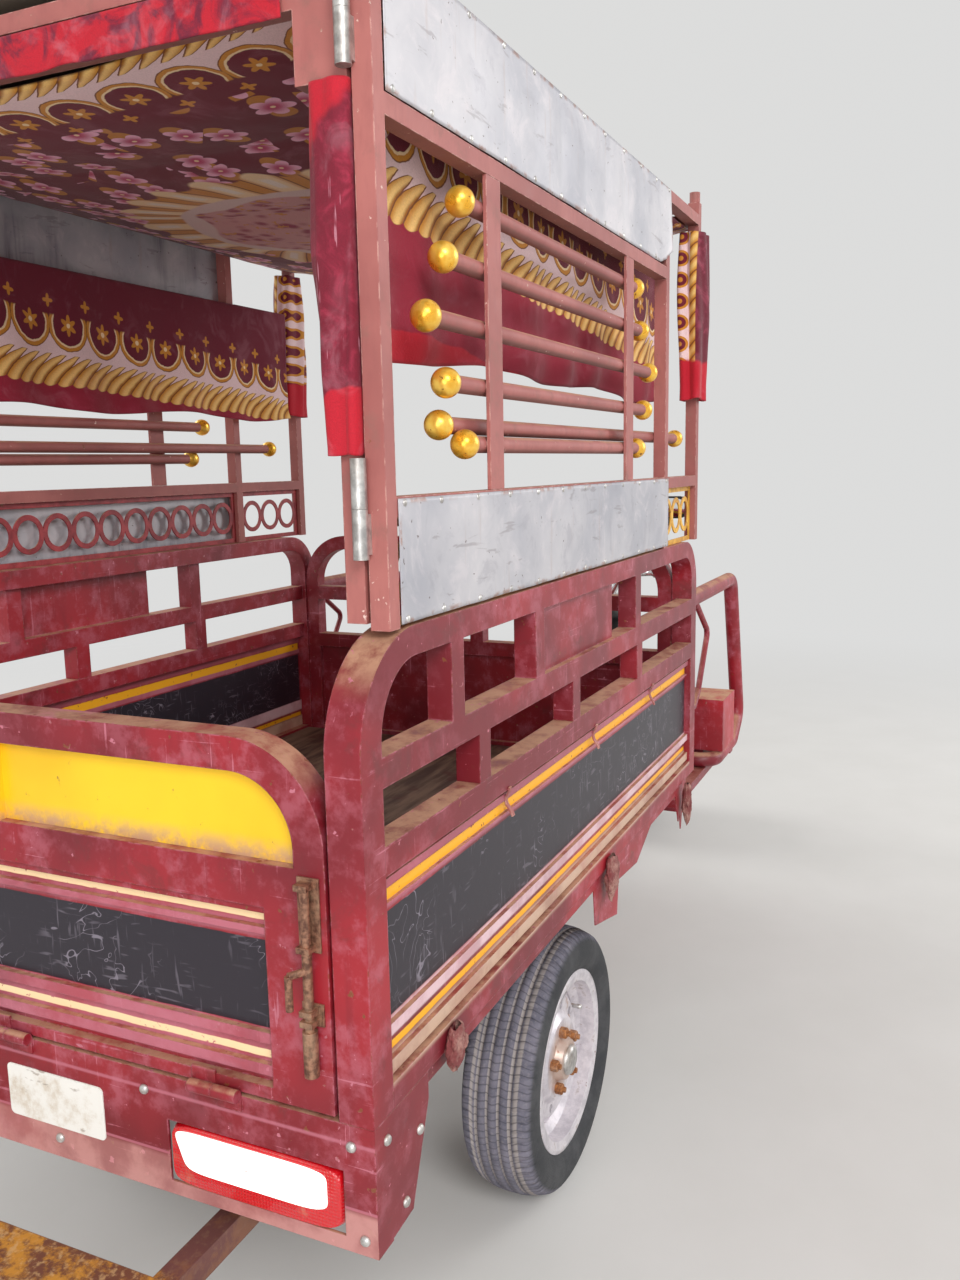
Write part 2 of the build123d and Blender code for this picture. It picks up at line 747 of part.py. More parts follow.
# The blanket's front corners, wrapped round the front posts
with BuildPart() as front_drape:
    for side in (-1, 1):
        with BuildSketch(level_plane(drape_bottom)) as drape_section:
            rect(front_post_station - drape_behind, bed_length + drape_ahead,
                 side * (half_width + drape_outside), side * drape_inner)
            fillet(drape_section.vertices(), radius=drape_corner)
            rect(front_post_station - seat_gap, bed_length + seat_gap, side * (half_width + seat_gap),
                 side * (half_width - post_width - seat_gap), mode=Mode.SUBTRACT)
        extrude(amount=under_ceiling(drape_inner) - drape_bottom)
save(front_drape, "front_drape")

# Rear beam with its lamps and number plate

beam_bottom = 487.0
beam_depth = 40.0
beam_sheet = 4.0
lamp_outer = 49.0
lamp_inner = 337.0
lamp_bottom = 508.0
lamp_top = 602.0
lamp_proud = 6.0
lamp_depth = 26.0
lamp_corner = 14.0
plate_centre_y = -77.0
plate_width = 188.0
plate_height = 84.0
plate_thickness = 1.5
plate_corner = 8.0
plate_centre_height = 580.0
corner_plate_end = 150.0
corner_plate_foot = 96.0
corner_plate_rise = 8.0
beam_top = sill_bottom - seat_gap
gate_pivot_station = -10.0
gate_pivot_height = sill_bottom + 4.0
knuckle_radius = 9.0
knuckle_length = 40.0
knuckle_leaf = 4.0
hinge_pitch = 380.0
hinge_ys = (-hinge_pitch, 0.0, hinge_pitch)

with BuildPart() as rear_beam:
    with BuildSketch(cross_plane(0)):
        rect(-half_width, half_width, beam_bottom, beam_top)
    extrude(amount=beam_depth)
    with BuildSketch(cross_plane(beam_sheet)):
        rect(-half_width + beam_sheet, half_width - beam_sheet,
             beam_bottom - 1.0, beam_top - beam_sheet)
    extrude(amount=beam_depth, mode=Mode.SUBTRACT)
    for side in (-1, 1):
        with BuildSketch(cross_plane(0)):
            rect(side * (half_width - lamp_inner), side * (half_width - lamp_outer),
                 lamp_bottom, lamp_top)
        extrude(amount=beam_sheet, mode=Mode.SUBTRACT)
    for side in (-1, 1):
        with BuildSketch(side_plane(side * half_width)):
            with BuildLine():
                Polyline(
                    (0, beam_bottom), (corner_plate_foot, beam_bottom + corner_plate_rise),
                    (corner_plate_end, sill_bottom - rail), (corner_plate_end, beam_top),
                    (0, beam_top),
                    close=True,
                )
            make_face()
        extrude(amount=side * beam_sheet)
    for knuckle_y in hinge_ys:
        bar(place(gate_pivot_station, knuckle_y - knuckle_length, gate_pivot_height),
            place(gate_pivot_station, knuckle_y, gate_pivot_height), knuckle_radius)
        with BuildSketch(side_plane(knuckle_y)):
            rect(-knuckle_leaf, 0, gate_pivot_height - 26.0, gate_pivot_height)
        extrude(amount=knuckle_length)
save(rear_beam, "rear_beam")

with BuildPart() as tail_lamps:
    for side in (-1, 1):
        with BuildSketch(cross_plane(-lamp_proud)):
            with Locations((side * (half_width - (lamp_inner + lamp_outer) / 2),
                            (lamp_bottom + lamp_top) / 2)):
                RectangleRounded(lamp_inner - lamp_outer - 2 * seat_gap,
                                 lamp_top - lamp_bottom - 2 * seat_gap, lamp_corner)
        extrude(amount=lamp_depth + lamp_proud)
save(tail_lamps, "tail_lamps")

with BuildPart() as number_plate:
    with BuildSketch(cross_plane(-plate_thickness - seat_gap)):
        with Locations((plate_centre_y, plate_centre_height)):
            RectangleRounded(plate_width, plate_height, plate_corner)
    extrude(amount=plate_thickness)
save(number_plate, "number_plate")

# Rear step: an angle bar on two arms bolted under the chassis rails

step_top = 440.0
step_depth = 110.0
step_half_length = 430.0
step_arm_width = 36.0
step_arm_y = rail_y - chassis_rail_width / 2 + step_arm_width / 2
step_arm_front = 300.0
step_arm_foot = 60.0
step_arm_bend = 180.0
step_arm_slope = 30.0
step_wall = 6.0
step_lip = 46.0
step_rear = -step_reach
step_front = -step_reach + step_depth

with BuildPart() as rear_step:
    with BuildSketch(side_plane(step_half_length)):
        with BuildLine():
            Polyline(
                (step_rear, step_top), (step_front, step_top),
                (step_front, step_top - step_wall), (step_rear + step_wall, step_top - step_wall),
                (step_rear + step_wall, step_top - step_lip), (step_rear, step_top - step_lip),
                close=True,
            )
        make_face()
    extrude(amount=2 * step_half_length)
    for side in (-1, 1):
        with BuildSketch(side_plane(side * step_arm_y + step_arm_width / 2)):
            with BuildLine():
                Polyline(
                    (step_rear + step_wall, step_top - step_wall),
                    (step_arm_front - step_arm_bend, step_top - step_wall),
                    (step_arm_front - step_arm_foot, chassis_bottom - seat_gap),
                    (step_arm_front, chassis_bottom - seat_gap),
                    (step_arm_front - step_arm_bend + step_arm_slope, step_top - step_lip),
                    (step_rear + step_wall, step_top - step_lip),
                    close=True,
                )
            make_face()
        extrude(amount=step_arm_width)
save(rear_step, "rear_step")

# Skirts under the sills, with the torn flap ahead of the wheel and a bracket at the front

skirt_sheet = 3.0
skirt_inset = 10.0
skirt_depth = 30.0
skirt_table = (
    # station from the rear axle, drop below the skirt's own edge
    (26.0, 0.0), (36.0, 80.0), (121.0, 100.0), (186.0, 116.0), (196.0, 40.0), (341.0, 52.0),
    (461.0, 0.0),
)
bracket_table = (
    # distance before the front of the bed, drop below the skirt's own edge
    (160.0, 0.0), (125.0, 80.0), (112.0, 58.0), (100.0, 108.0), (78.0, 40.0), (50.0, 0.0),
)
skirt_start = corner_plate_end + skirt_sheet + 1.0
skirt_edge = sill_bottom - skirt_depth

with BuildPart() as side_skirts:
    for side in (-1, 1):
        with BuildSketch(side_plane(side * (half_width - skirt_inset))):
            with BuildLine():
                points = [(skirt_start, beam_top), (skirt_start, skirt_edge)]
                for ahead, drop in skirt_table:
                    points.append((rear_axle_station + ahead, skirt_edge - drop))
                for behind, drop in bracket_table:
                    points.append((bed_length - behind, skirt_edge - drop))
                points.append((bed_length - hoop_tube, beam_top))
                Polyline(*points, close=True)
            make_face()
        extrude(amount=side * skirt_sheet)
save(side_skirts, "side_skirts")

# Tailgate: a hoop of tube with stiles, ledge and pressed panel, hinged at its foot

gate_half = half_width - hoop_tube - running_clearance
gate_bottom = sill_bottom + 6.0
gate_foot = 18.0
gate_top = 1170.0
gate_tube = 46.0
gate_radius = 140.0
gate_stile = 49.0
gate_plate_low = 1006.0
gate_ledge = 60.0
gate_panel_depth = 14.0
gate_rib_depth = 9.0
gate_ledge_low = gate_plate_low - gate_ledge
gate_field_half = gate_half - gate_tube - gate_stile
gate_ribs = (
    # height above the gate's bottom, height of the rib
    (30.0, 16.0), (76.0, 16.0), (230.0, 10.0), (260.0, 10.0),
)

with BuildPart() as tailgate_frame:
    with BuildSketch(cross_plane(0)) as gate_outline:
        rect(-gate_half, gate_half, gate_bottom, gate_top)
        fillet(gate_outline.vertices().group_by(Axis.Y)[-1], radius=gate_radius)
        with BuildSketch(mode=Mode.PRIVATE) as gate_window:
            rect(-gate_half + gate_tube, gate_half - gate_tube, gate_plate_low, gate_top - gate_tube)
            fillet(gate_window.vertices().group_by(Axis.Y)[-1], radius=gate_radius - gate_tube)
        add(gate_window.sketch, mode=Mode.SUBTRACT)
        with BuildSketch(mode=Mode.PRIVATE) as gate_field:
            rect(-gate_field_half, gate_field_half, gate_bottom + gate_foot, gate_ledge_low)
        add(gate_field.sketch, mode=Mode.SUBTRACT)
    extrude(amount=gate_tube)
    with BuildSketch(cross_plane(gate_panel_depth)):
        rect(-gate_field_half, gate_field_half, gate_bottom + gate_foot, gate_ledge_low)
    extrude(amount=panel_sheet)
    for above_bottom, rib_height in gate_ribs:
        low = gate_bottom + above_bottom
        with BuildSketch(cross_plane(gate_panel_depth - gate_rib_depth)):
            rect(-gate_field_half, gate_field_half, low, low + rib_height)
        extrude(amount=gate_rib_depth)
    for knuckle_y in hinge_ys:
        bar(place(gate_pivot_station, knuckle_y + seat_gap, gate_pivot_height),
            place(gate_pivot_station, knuckle_y + knuckle_length, gate_pivot_height),
            knuckle_radius)
        with BuildSketch(side_plane(knuckle_y + knuckle_length)):
            rect(-knuckle_leaf, 0, gate_pivot_height, gate_bottom + 24.0)
        extrude(amount=knuckle_length - seat_gap)
save(tailgate_frame, "tailgate_frame")

gate_divider = 24.0

with BuildPart() as tailgate_plate:
    with BuildSketch(cross_plane(gate_panel_depth)) as plate_outline:
        rect(-gate_half + gate_tube + seat_gap, gate_half - gate_tube - seat_gap,
             gate_plate_low + seat_gap, gate_top - gate_tube - seat_gap)
        fillet(plate_outline.vertices().group_by(Axis.Y)[-1], radius=gate_radius - gate_tube)
    extrude(amount=panel_sheet)
    with BuildSketch(cross_plane(0)):
        rect(-gate_divider / 2, gate_divider / 2,
             gate_plate_low + seat_gap, gate_top - gate_tube - seat_gap)
    extrude(amount=gate_panel_depth)
save(tailgate_plate, "tailgate_plate")

# Latches: a long drop bolt in two brackets on each stile, with a lever and a sleeve below

latch_y = gate_half - 24.0
latch_sheet = 3.0
latch_half = 16.0
bolt_radius = 6.5
bolt_stand = 2.0
bolt_station = -latch_sheet - seat_gap - bolt_radius - bolt_stand
bolt_low = 735.0
bolt_high = 985.0
sleeve_radius = 10.0
sleeve_length = 62.0
lever_height = 878.0
lever_radius = 5.0
lever_out = 22.0
lever_in = 14.0
lever_drop = 46.0
lug_thickness = 8.0
lug_inset = 4.0
lug_margin = 3.0
latch_brackets = (
    # low height, high height
    (900.0, 998.0),
    (800.0, 830.0),
)

with BuildPart() as tailgate_latches:
    for side in (-1, 1):
        y = side * latch_y
        for low, high in latch_brackets:
            with BuildSketch(cross_plane(-seat_gap)):
                rect(y - latch_half, y + latch_half, low, high)
            extrude(amount=-latch_sheet)
            for lug in (low + lug_inset, high - lug_inset - lug_thickness):
                with BuildSketch(level_plane(lug)):
                    rect(bolt_station - bolt_radius - lug_margin, -seat_gap - latch_sheet / 2,
                         y - bolt_radius - lug_margin, y + bolt_radius + lug_margin)
                extrude(amount=lug_thickness)
        bar(place(bolt_station, y, bolt_low), place(bolt_station, y, bolt_high), bolt_radius)
        bar(place(bolt_station, y, bolt_low), place(bolt_station, y, bolt_low + sleeve_length),
            sleeve_radius)
        elbow = place(bolt_station - lever_out, y - side * lever_in, lever_height)
        bar(place(bolt_station, y, lever_height), elbow, lever_radius)
        bar(elbow, elbow + Vector(0, 0, -lever_drop), lever_radius)
save(tailgate_latches, "tailgate_latches")

# Rear portal: an upper gate frame hung on two bullet hinges at the right rear post

hinge_radius = 10.0
hinge_stand = 2.0
hinge_station = rear_post_station - hinge_radius - hinge_stand
hinge_inset = post_width + 3.0
hinge_y = -half_width + hinge_inset
hinge_leaf = 4.0
hinge_leaf_offset = 5.0
stile_width = 28.0
portal_rise = 8.0
portal_bottom = top_rail_top + portal_rise
portal_top = roof_bottom - running_clearance
header_height = 44.0
lug_width = 44.0
lug_drop = 129.0
portal_right = half_width - post_width - running_clearance
stile_inner = -portal_right + stile_width
hinge_spans = (
    # lower end, joint, upper end
    (top_rail_top + 90.0, top_rail_top + 152.0, top_rail_top + 214.0),
    (portal_top - 120.0, portal_top - 60.0, portal_top),
)

with BuildPart() as portal_frame:
    with BuildSketch(cross_plane(rear_post_station)):
        rect(-portal_right, stile_inner, portal_bottom, portal_top)
        rect(-stile_inner, portal_right, portal_bottom, portal_top)
        rect(-portal_right, portal_right, portal_top - header_height, portal_top)
        rect(stile_inner, stile_inner + lug_width, portal_top - lug_drop, portal_top)
    extrude(amount=post_depth)
save(portal_frame, "portal_frame")

with BuildPart() as hinge_barrels:
    for low, joint, high in hinge_spans:
        bar(place(hinge_station, hinge_y, joint + seat_gap),
            place(hinge_station, hinge_y, high), hinge_radius)
        with BuildSketch(level_plane(joint + running_clearance)):
            rect(hinge_station, rear_post_station,
                 hinge_y + hinge_leaf_offset, hinge_y + hinge_leaf_offset + hinge_leaf)
        extrude(amount=high - joint - 2 * running_clearance)
save(hinge_barrels, "hinge_barrels")

with BuildPart() as hinge_pins:
    for low, joint, high in hinge_spans:
        bar(place(hinge_station, hinge_y, low), place(hinge_station, hinge_y, joint), hinge_radius)
        with BuildSketch(level_plane(low + running_clearance)):
            rect(hinge_station, rear_post_station,
                 hinge_y - hinge_leaf_offset - hinge_leaf, hinge_y - hinge_leaf_offset)
        extrude(amount=joint - low - 2 * running_clearance)
save(hinge_pins, "hinge_pins")

curtain_depth = 14.0
curtain_inboard = 34.0
curtain_corner = 18.0
curtain_bottom = hinge_spans[0][2] + running_clearance
curtain_top = portal_top - lug_drop

# A red cloth wound round the portal's right stile between its hinges
with BuildPart() as corner_curtain:
    with BuildSketch(level_plane(curtain_bottom)) as curtain_section:
        rect(rear_post_station - curtain_depth, rear_post_station + post_depth + curtain_depth,
             -portal_right, stile_inner + curtain_inboard)
        fillet(curtain_section.vertices().group_by(Axis.Y)[-1], radius=curtain_corner)
        rect(rear_post_station - seat_gap, rear_post_station + post_depth + seat_gap,
             -portal_right - 1.0, stile_inner + seat_gap, mode=Mode.SUBTRACT)
    extrude(amount=curtain_top - curtain_bottom)
save(corner_curtain, "corner_curtain")

header_cloth_depth = 9.0
header_cloth_drop = 12.0

with BuildPart() as header_cloth:
    with BuildSketch(cross_plane(rear_post_station - header_cloth_depth - seat_gap)):
        rect(stile_inner + lug_width + cloth, -stile_inner - cloth,
             portal_top - header_height - header_cloth_drop, portal_top)
    extrude(amount=header_cloth_depth)
save(header_cloth, "header_cloth")

# Front frame: backbone, cradle and head tube of the motorcycle part

steering_rake = 27.0
steering_trail = 95.0
axis_foot = front_axle_station + steering_trail
head_low = 790.0
head_high = 960.0
head_radius = 26.0
stem_radius = 15.0
lean = tan(radians(steering_rake))


def on_axis(height):
    """The point of the steering axis at a height."""
    return place(axis_foot - lean * height, 0, height)


steering_direction = (on_axis(1000.0) - on_axis(0.0)).normalized()
cradle_height = 330.0
cradle_half = 95.0
cradle_tube = 16.0
cradle_bend = 60.0
backbone_tube = 24.0
backbone_bend = 38.0
cradle_rear_station = chassis_front_station + 80.0
frame_foot_height = chassis_bottom + chassis_rail_height / 2
backbone_points = (
    on_axis(head_high - 45.0), place(bed_length + 560.0, 0, 850.0),
    place(bed_length + 450.0, 0, 735.0), place(bed_length + 135.0, 0, 700.0),
    place(bed_length + 135.0, 0, frame_foot_height),
    place(chassis_front_station + seat_gap, 0, frame_foot_height),
)

with BuildPart() as front_frame:
    bar(on_axis(head_low), on_axis(head_high), head_radius)
    bent_tube(backbone_points, backbone_bend, backbone_tube)
    for side in (-1, 1):
        y = side * cradle_half
        bent_tube((on_axis(head_low + 35.0), place(bed_length + 920.0, y, 560.0),
                   place(bed_length + 810.0, y, cradle_height),
                   place(cradle_rear_station, y, cradle_height),
                   place(cradle_rear_station, y, frame_foot_height),
                   place(chassis_front_station + seat_gap, y, frame_foot_height)),
                  cradle_bend, cradle_tube)
    bar(on_axis(head_low - 1.0), on_axis(head_high + 1.0), stem_radius + shaft_clearance,
        mode=Mode.SUBTRACT)
save(front_frame, "front_frame")

# Engine: crankcase with side covers and a finned cylinder, and its exhaust and drive shaft

engine_low = cradle_height + cradle_tube + seat_gap
crank_start = bed_length + 330.0
crank_length = 390.0
crank_half = 92.0
crank_height = 239.0
crank_corner = 52.0
cover_thickness = 36.0
clutch_radius = 88.0
clutch_inset = 120.0
gear_cover_radius = 66.0
gear_cover_inset = 95.0
cover_height = 121.0
cylinder_inset = 80.0
cylinder_size = 104.0
fin_count = 9
fin_pitch = 14.0
fin_thickness = 5.0
fin_size = 150.0
fin_corner = 20.0
head_cover_height = 40.0
crank_end = crank_start + crank_length
crank_top = engine_low + crank_height
cylinder_station = crank_end - cylinder_inset
fin_base = crank_top + 12.0
output_height = engine_low + cover_height

with BuildPart() as engine:
    with BuildSketch(side_plane(crank_half)) as case:
        rect(crank_start, crank_end, engine_low, crank_top)
        fillet(case.vertices(), radius=crank_corner)
    extrude(amount=2 * crank_half)
    for side in (-1, 1):
        with BuildSketch(side_plane(side * crank_half)):
            with Locations((crank_end - clutch_inset, output_height)):
                Circle(clutch_radius)
            with Locations((crank_start + gear_cover_inset, output_height)):
                Circle(gear_cover_radius)
        extrude(amount=-side * cover_thickness)
    with BuildSketch(level_plane(crank_top - 20.0)):
        with Locations((cylinder_station, 0)):
            Rectangle(cylinder_size, cylinder_size)
    extrude(amount=fin_count * fin_pitch + head_cover_height + 20.0)
    for number in range(fin_count):
        with BuildSketch(level_plane(fin_base + number * fin_pitch)):
            with Locations((cylinder_station, 0)):
                RectangleRounded(fin_size, fin_size, fin_corner)
        extrude(amount=fin_thickness)
save(engine, "engine")

exhaust_y = -crank_half - 88.0
exhaust_pipe = 16.0
exhaust_bend = 45.0
exhaust_height = 400.0
port_rise = 52.0
muffler_radius = 42.0
muffler_start = bed_length + 370.0
muffler_end = bed_length - 150.0

with BuildPart() as exhaust:
    port_station = cylinder_station + fin_size / 2 + seat_gap
    down_station = port_station + 70.0
    bent_tube((place(port_station, 0, fin_base + port_rise),
               place(down_station, 0, fin_base + port_rise),
               place(down_station, 0, exhaust_height + 10.0),
               place(down_station - 50.0, exhaust_y, exhaust_height),
               place(muffler_start, exhaust_y, exhaust_height)), exhaust_bend, exhaust_pipe)
    bar(place(muffler_start, exhaust_y, exhaust_height),
        place(muffler_end, exhaust_y, exhaust_height), muffler_radius)
save(exhaust, "exhaust")

drive_shaft_radius = 21.0
drive_shaft_end = 60.0
axle_nose = rear_axle_station + pinion_start + pinion_length

with BuildPart() as drive_shaft:
    bent_tube((place(axle_nose + seat_gap, 0, rear_axle_height),
               place(axle_nose + drive_shaft_end, 0, rear_axle_height),
               place(crank_start - drive_shaft_end, 0, output_height),
               place(crank_start - seat_gap, 0, output_height)), drive_shaft_end, drive_shaft_radius)
save(drive_shaft, "drive_shaft")

# Driver's place: seat box and seat, tank, floor, side boxes and guard hoops

seat_setback = 50.0
seat_length = 430.0
seat_half = 215.0
seat_box_top = 810.0
seat_height = 92.0
seat_back_rise = 44.0
seat_back_depth = 80.0
seat_back_foot = 150.0
seat_hollow = 6.0
seat_nose = 90.0
seat_nose_drop = 26.0
seat_margin = 5.0
seat_corner = 20.0
floor_thickness = 24.0
floor_height = chassis_bottom - floor_thickness
cab_floor_start = chassis_front_station - 40.0
cab_floor_end = bed_length + 810.0
cab_floor_inner = 150.0
guard_tube = 22.0
cab_floor_outer = half_width - 2 * guard_tube - seat_gap
floor_bearer_width = 40.0
floor_bearer_height = 30.0
floor_bearer_stations = (cab_floor_start + 80.0, cab_floor_end - 60.0)
box_wall = 3.0
rear_wall_low = chassis_top + 20.0
seat_rear = bed_length + seat_setback
seat_front = seat_rear + seat_length

with BuildPart() as footboards:
    for side in (-1, 1):
        with BuildSketch(level_plane(floor_height)):
            rect(cab_floor_start, cab_floor_end, side * cab_floor_inner, side * cab_floor_outer)
        extrude(amount=floor_thickness)
        with BuildSketch(level_plane(floor_height - floor_bearer_height)):
            for station in floor_bearer_stations:
                rect(station - floor_bearer_width / 2, station + floor_bearer_width / 2,
                     side * (cradle_half - cradle_tube), side * cab_floor_outer)
        extrude(amount=floor_bearer_height)
save(footboards, "footboards")

with BuildPart() as seat_box:
    with BuildSketch(level_plane(floor_height + floor_thickness + seat_gap)):
        rect(seat_rear, seat_front, -seat_half, seat_half)
        rect(seat_rear + box_wall, seat_front + 1.0,
             -seat_half + box_wall, seat_half - box_wall, mode=Mode.SUBTRACT)
    extrude(amount=seat_box_top - floor_height - floor_thickness - seat_gap)
    with BuildSketch(cross_plane(seat_rear - 1.0)):
        rect(-seat_half + box_wall, seat_half - box_wall, floor_height, rear_wall_low)
    extrude(amount=box_wall + 2.0, mode=Mode.SUBTRACT)
    with BuildSketch(level_plane(seat_box_top - box_wall)):
        rect(seat_rear, seat_front, -seat_half, seat_half)
    extrude(amount=box_wall)
save(seat_box, "seat_box")

# The seat's side outline: a low nose, a hollow and a raised rear edge
with BuildPart() as driver_seat:
    cushion_low = seat_box_top + seat_gap
    cushion_top = cushion_low + seat_height
    with BuildSketch(side_plane(seat_half - seat_margin)) as seat_side:
        with BuildLine():
            Polyline(
                (seat_rear + seat_margin, cushion_low), (seat_front - seat_margin, cushion_low),
                (seat_front - seat_margin, cushion_top - seat_nose_drop),
                (seat_front - seat_nose, cushion_top),
                (seat_rear + seat_back_foot, cushion_top - seat_hollow),
                (seat_rear + seat_back_depth, cushion_top + seat_back_rise),
                (seat_rear + seat_margin, cushion_top + seat_back_rise),
                close=True,
            )
        make_face()
        fillet(seat_side.vertices().group_by(Axis.Y)[1:], radius=seat_corner)
    extrude(amount=2 * (seat_half - seat_margin))
    for seat_face in (driver_seat.faces().sort_by(Axis.Y)[0], driver_seat.faces().sort_by(Axis.Y)[-1]):
        chamfer(seat_face.edges(), length=seat_corner / 2)
save(driver_seat, "driver_seat")

tank_gap = 20.0
tank_head_gap = 84.0
tank_half = 135.0
tank_low = 880.0
tank_high = 1020.0
tank_corner = 36.0
filler_radius = 30.0
tank_start = seat_front + tank_gap
tank_end = axis_foot - lean * tank_high - tank_head_gap
tank_middle_station = (tank_start + tank_end) / 2
tank_sections = (
    # station, half width, low height, high height
    (tank_start, tank_half * 0.70, tank_low, tank_high - 30.0),
    (tank_middle_station, tank_half, tank_low, tank_high),
    (tank_end, tank_half * 0.75, tank_low + 14.0, tank_high - 16.0),
)

with BuildPart() as fuel_tank:
    for station, section_half, low, high in tank_sections:
        with BuildSketch(cross_plane(station)) as tank_section:
            rect(-section_half, section_half, low, high)
            fillet(tank_section.vertices(), radius=tank_corner)
    loft(ruled=True)
    bar(place(tank_middle_station, 0, tank_high - 4.0),
        place(tank_middle_station, 0, tank_high + 12.0), filler_radius)
    bar(backbone_points[0], backbone_points[1], backbone_tube + seat_gap, mode=Mode.SUBTRACT)
save(fuel_tank, "fuel_tank")

guard_y = half_width - guard_tube
guard_low = floor_height + floor_thickness + seat_gap + guard_tube
guard_top = 1135.0
guard_bend = 50.0
guard_return = 106.0
guard_return_station = bed_length + 350.0
stay_radius = 8.0
stay_bend = 20.0
stay_y = half_width - 14.0
stay_points = (
    # distance ahead of the bed, height
    (seat_gap, 1128.0), (50.0, 1128.0), (211.0, 1021.0), (101.0, 870.0), (50.0, 835.0),
    (seat_gap, 835.0),
)

# Guards: a bent tube beside the driver on each side and a kinked stay behind it
with BuildPart() as side_guards:
    for side in (-1, 1):
        y = side * guard_y
        bent_tube((place(bed_length + seat_gap, y, guard_top), place(bed_length + 566.0, y, guard_top),
                   place(bed_length + 720.0, y, 672.0), place(bed_length + 620.0, y, guard_low),
                   place(guard_return_station, y, guard_low),
                   place(guard_return_station, side * (guard_y - guard_return), guard_low)),
                  guard_bend, guard_tube)
        bent_tube([place(bed_length + ahead, side * stay_y, height) for ahead, height in stay_points],
                  stay_bend, stay_radius)
save(side_guards, "side_guards")

side_box_start = guard_return_station + guard_tube + 11.0
side_box_length = 169.0
side_box_depth = 170.0
side_box_top = 782.0
box_foot_inset = 20.0
box_bottom = guard_low + guard_tube + seat_gap
box_foot_outer = cab_floor_outer - box_foot_inset

# Boxes on the footboards, their outer edge lying on the guard tube
with BuildPart() as side_boxes:
    for side in (-1, 1):
        with BuildSketch(level_plane(box_bottom)):
            rect(side_box_start, side_box_start + side_box_length,
                 side * half_width, side * (half_width - side_box_depth))
        extrude(amount=side_box_top - box_bottom)
        with BuildSketch(level_plane(guard_low - guard_tube)):
            rect(side_box_start + box_foot_inset, side_box_start + side_box_length - box_foot_inset,
                 side * box_foot_outer, side * (half_width - side_box_depth + box_foot_inset))
        extrude(amount=box_bottom - guard_low + guard_tube)
save(side_boxes, "side_boxes")

# Steering: fork, yokes, handlebar, headlamp, mudguard and mirrors

fork_half = 112.0
slider_radius = 25.0
slider_length = 330.0
slider_foot = 28.0
leg_length = 770.0
stanchion_radius = 17.0
yoke_thickness = 26.0
yoke_rim = 27.0
yoke_gap = 5.0
axle_overhang = 20.0
across = Vector(cos(radians(steering_rake)), 0, sin(radians(steering_rake)))
axle_point = place(front_axle_station, 0, front_axle_height)
leg_offset = (axle_point - on_axis(front_axle_height)).dot(across)
leg_low = axle_point - steering_direction * slider_foot
leg_joint = axle_point + steering_direction * slider_length
leg_top = axle_point + steering_direction * leg_length
low_yoke_point = on_axis(head_low) - steering_direction * (yoke_thickness + yoke_gap)
high_yoke_point = on_axis(head_high) + steering_direction * yoke_gap

with BuildPart() as fork:
    for side in (-1, 1):
        shift = Vector(0, side * fork_half, 0)
        bar(leg_low + shift, leg_joint + shift, slider_radius)
        bar(leg_joint + shift, leg_top + shift, stanchion_radius)
    for yoke_origin in (low_yoke_point, high_yoke_point):
        with BuildSketch(Plane(origin=yoke_origin, x_dir=across, z_dir=steering_direction)):
            with Locations((0, 0), (leg_offset, -fork_half), (leg_offset, fork_half)):
                Circle(yoke_rim)
            make_hull()
        extrude(amount=yoke_thickness)
    bar(low_yoke_point, high_yoke_point, stem_radius)
    axle_shift = Vector(0, fork_half + axle_overhang, 0)
    bar(axle_point - axle_shift, axle_point + axle_shift, front_axle_radius)
save(fork, "fork")

grip_half = 400.0
bar_radius = 11.0
bar_bend = 30.0
grip_radius = 16.0
grip_length = 120.0
bar_rise = 120.0
bar_sweep = 170.0
lever_rod = 4.5
dial_radius = 38.0
dial_height = 34.0
dial_reach = 24.0
dial_rise = 30.0
lever_start = 6.0
lever_reach = 38.0
clamp_point = high_yoke_point + steering_direction * (yoke_thickness + bar_radius + seat_gap)
dial_foot = clamp_point + across * dial_reach + steering_direction * dial_rise
bar_corners = (
    # sideways, back, rise
    (grip_half, bar_sweep, bar_rise),
    (265.0, bar_sweep - 40.0, bar_rise),
    (130.0, 20.0, bar_rise - 20.0),
    (75.0, 0.0, 0.0),
)

with BuildPart() as handlebar:
    left_points = [clamp_point + Vector(-back, sideways, rise) for sideways, back, rise in bar_corners]
    right_points = [Vector(point.X, -point.Y, point.Z) for point in reversed(left_points)]
    bent_tube(left_points + right_points, bar_bend, bar_radius)
    for outer, inner in ((left_points[0], left_points[1]), (right_points[-1], right_points[-2])):
        along = (inner - outer).normalized()
        bar(outer, outer + along * grip_length, grip_radius)
        bar(inner - along * lever_start, outer + Vector(lever_reach, 0, -lever_start), lever_rod)
    bar(clamp_point, dial_foot, lever_rod * 2)
    bar(dial_foot, dial_foot + steering_direction * dial_height, dial_radius)
save(handlebar, "handlebar")

headlamp_radius = 82.0
headlamp_front = 62.0
headlamp_rim = 16.0
headlamp_boss = 9.0
bracket_sheet = 5.0
lamp_height = 900.0
lamp_reach = 175.0
lamp_centre = on_axis(lamp_height) + Vector(lamp_reach, 0, 0)
bracket_y = fork_half - stanchion_radius - seat_gap

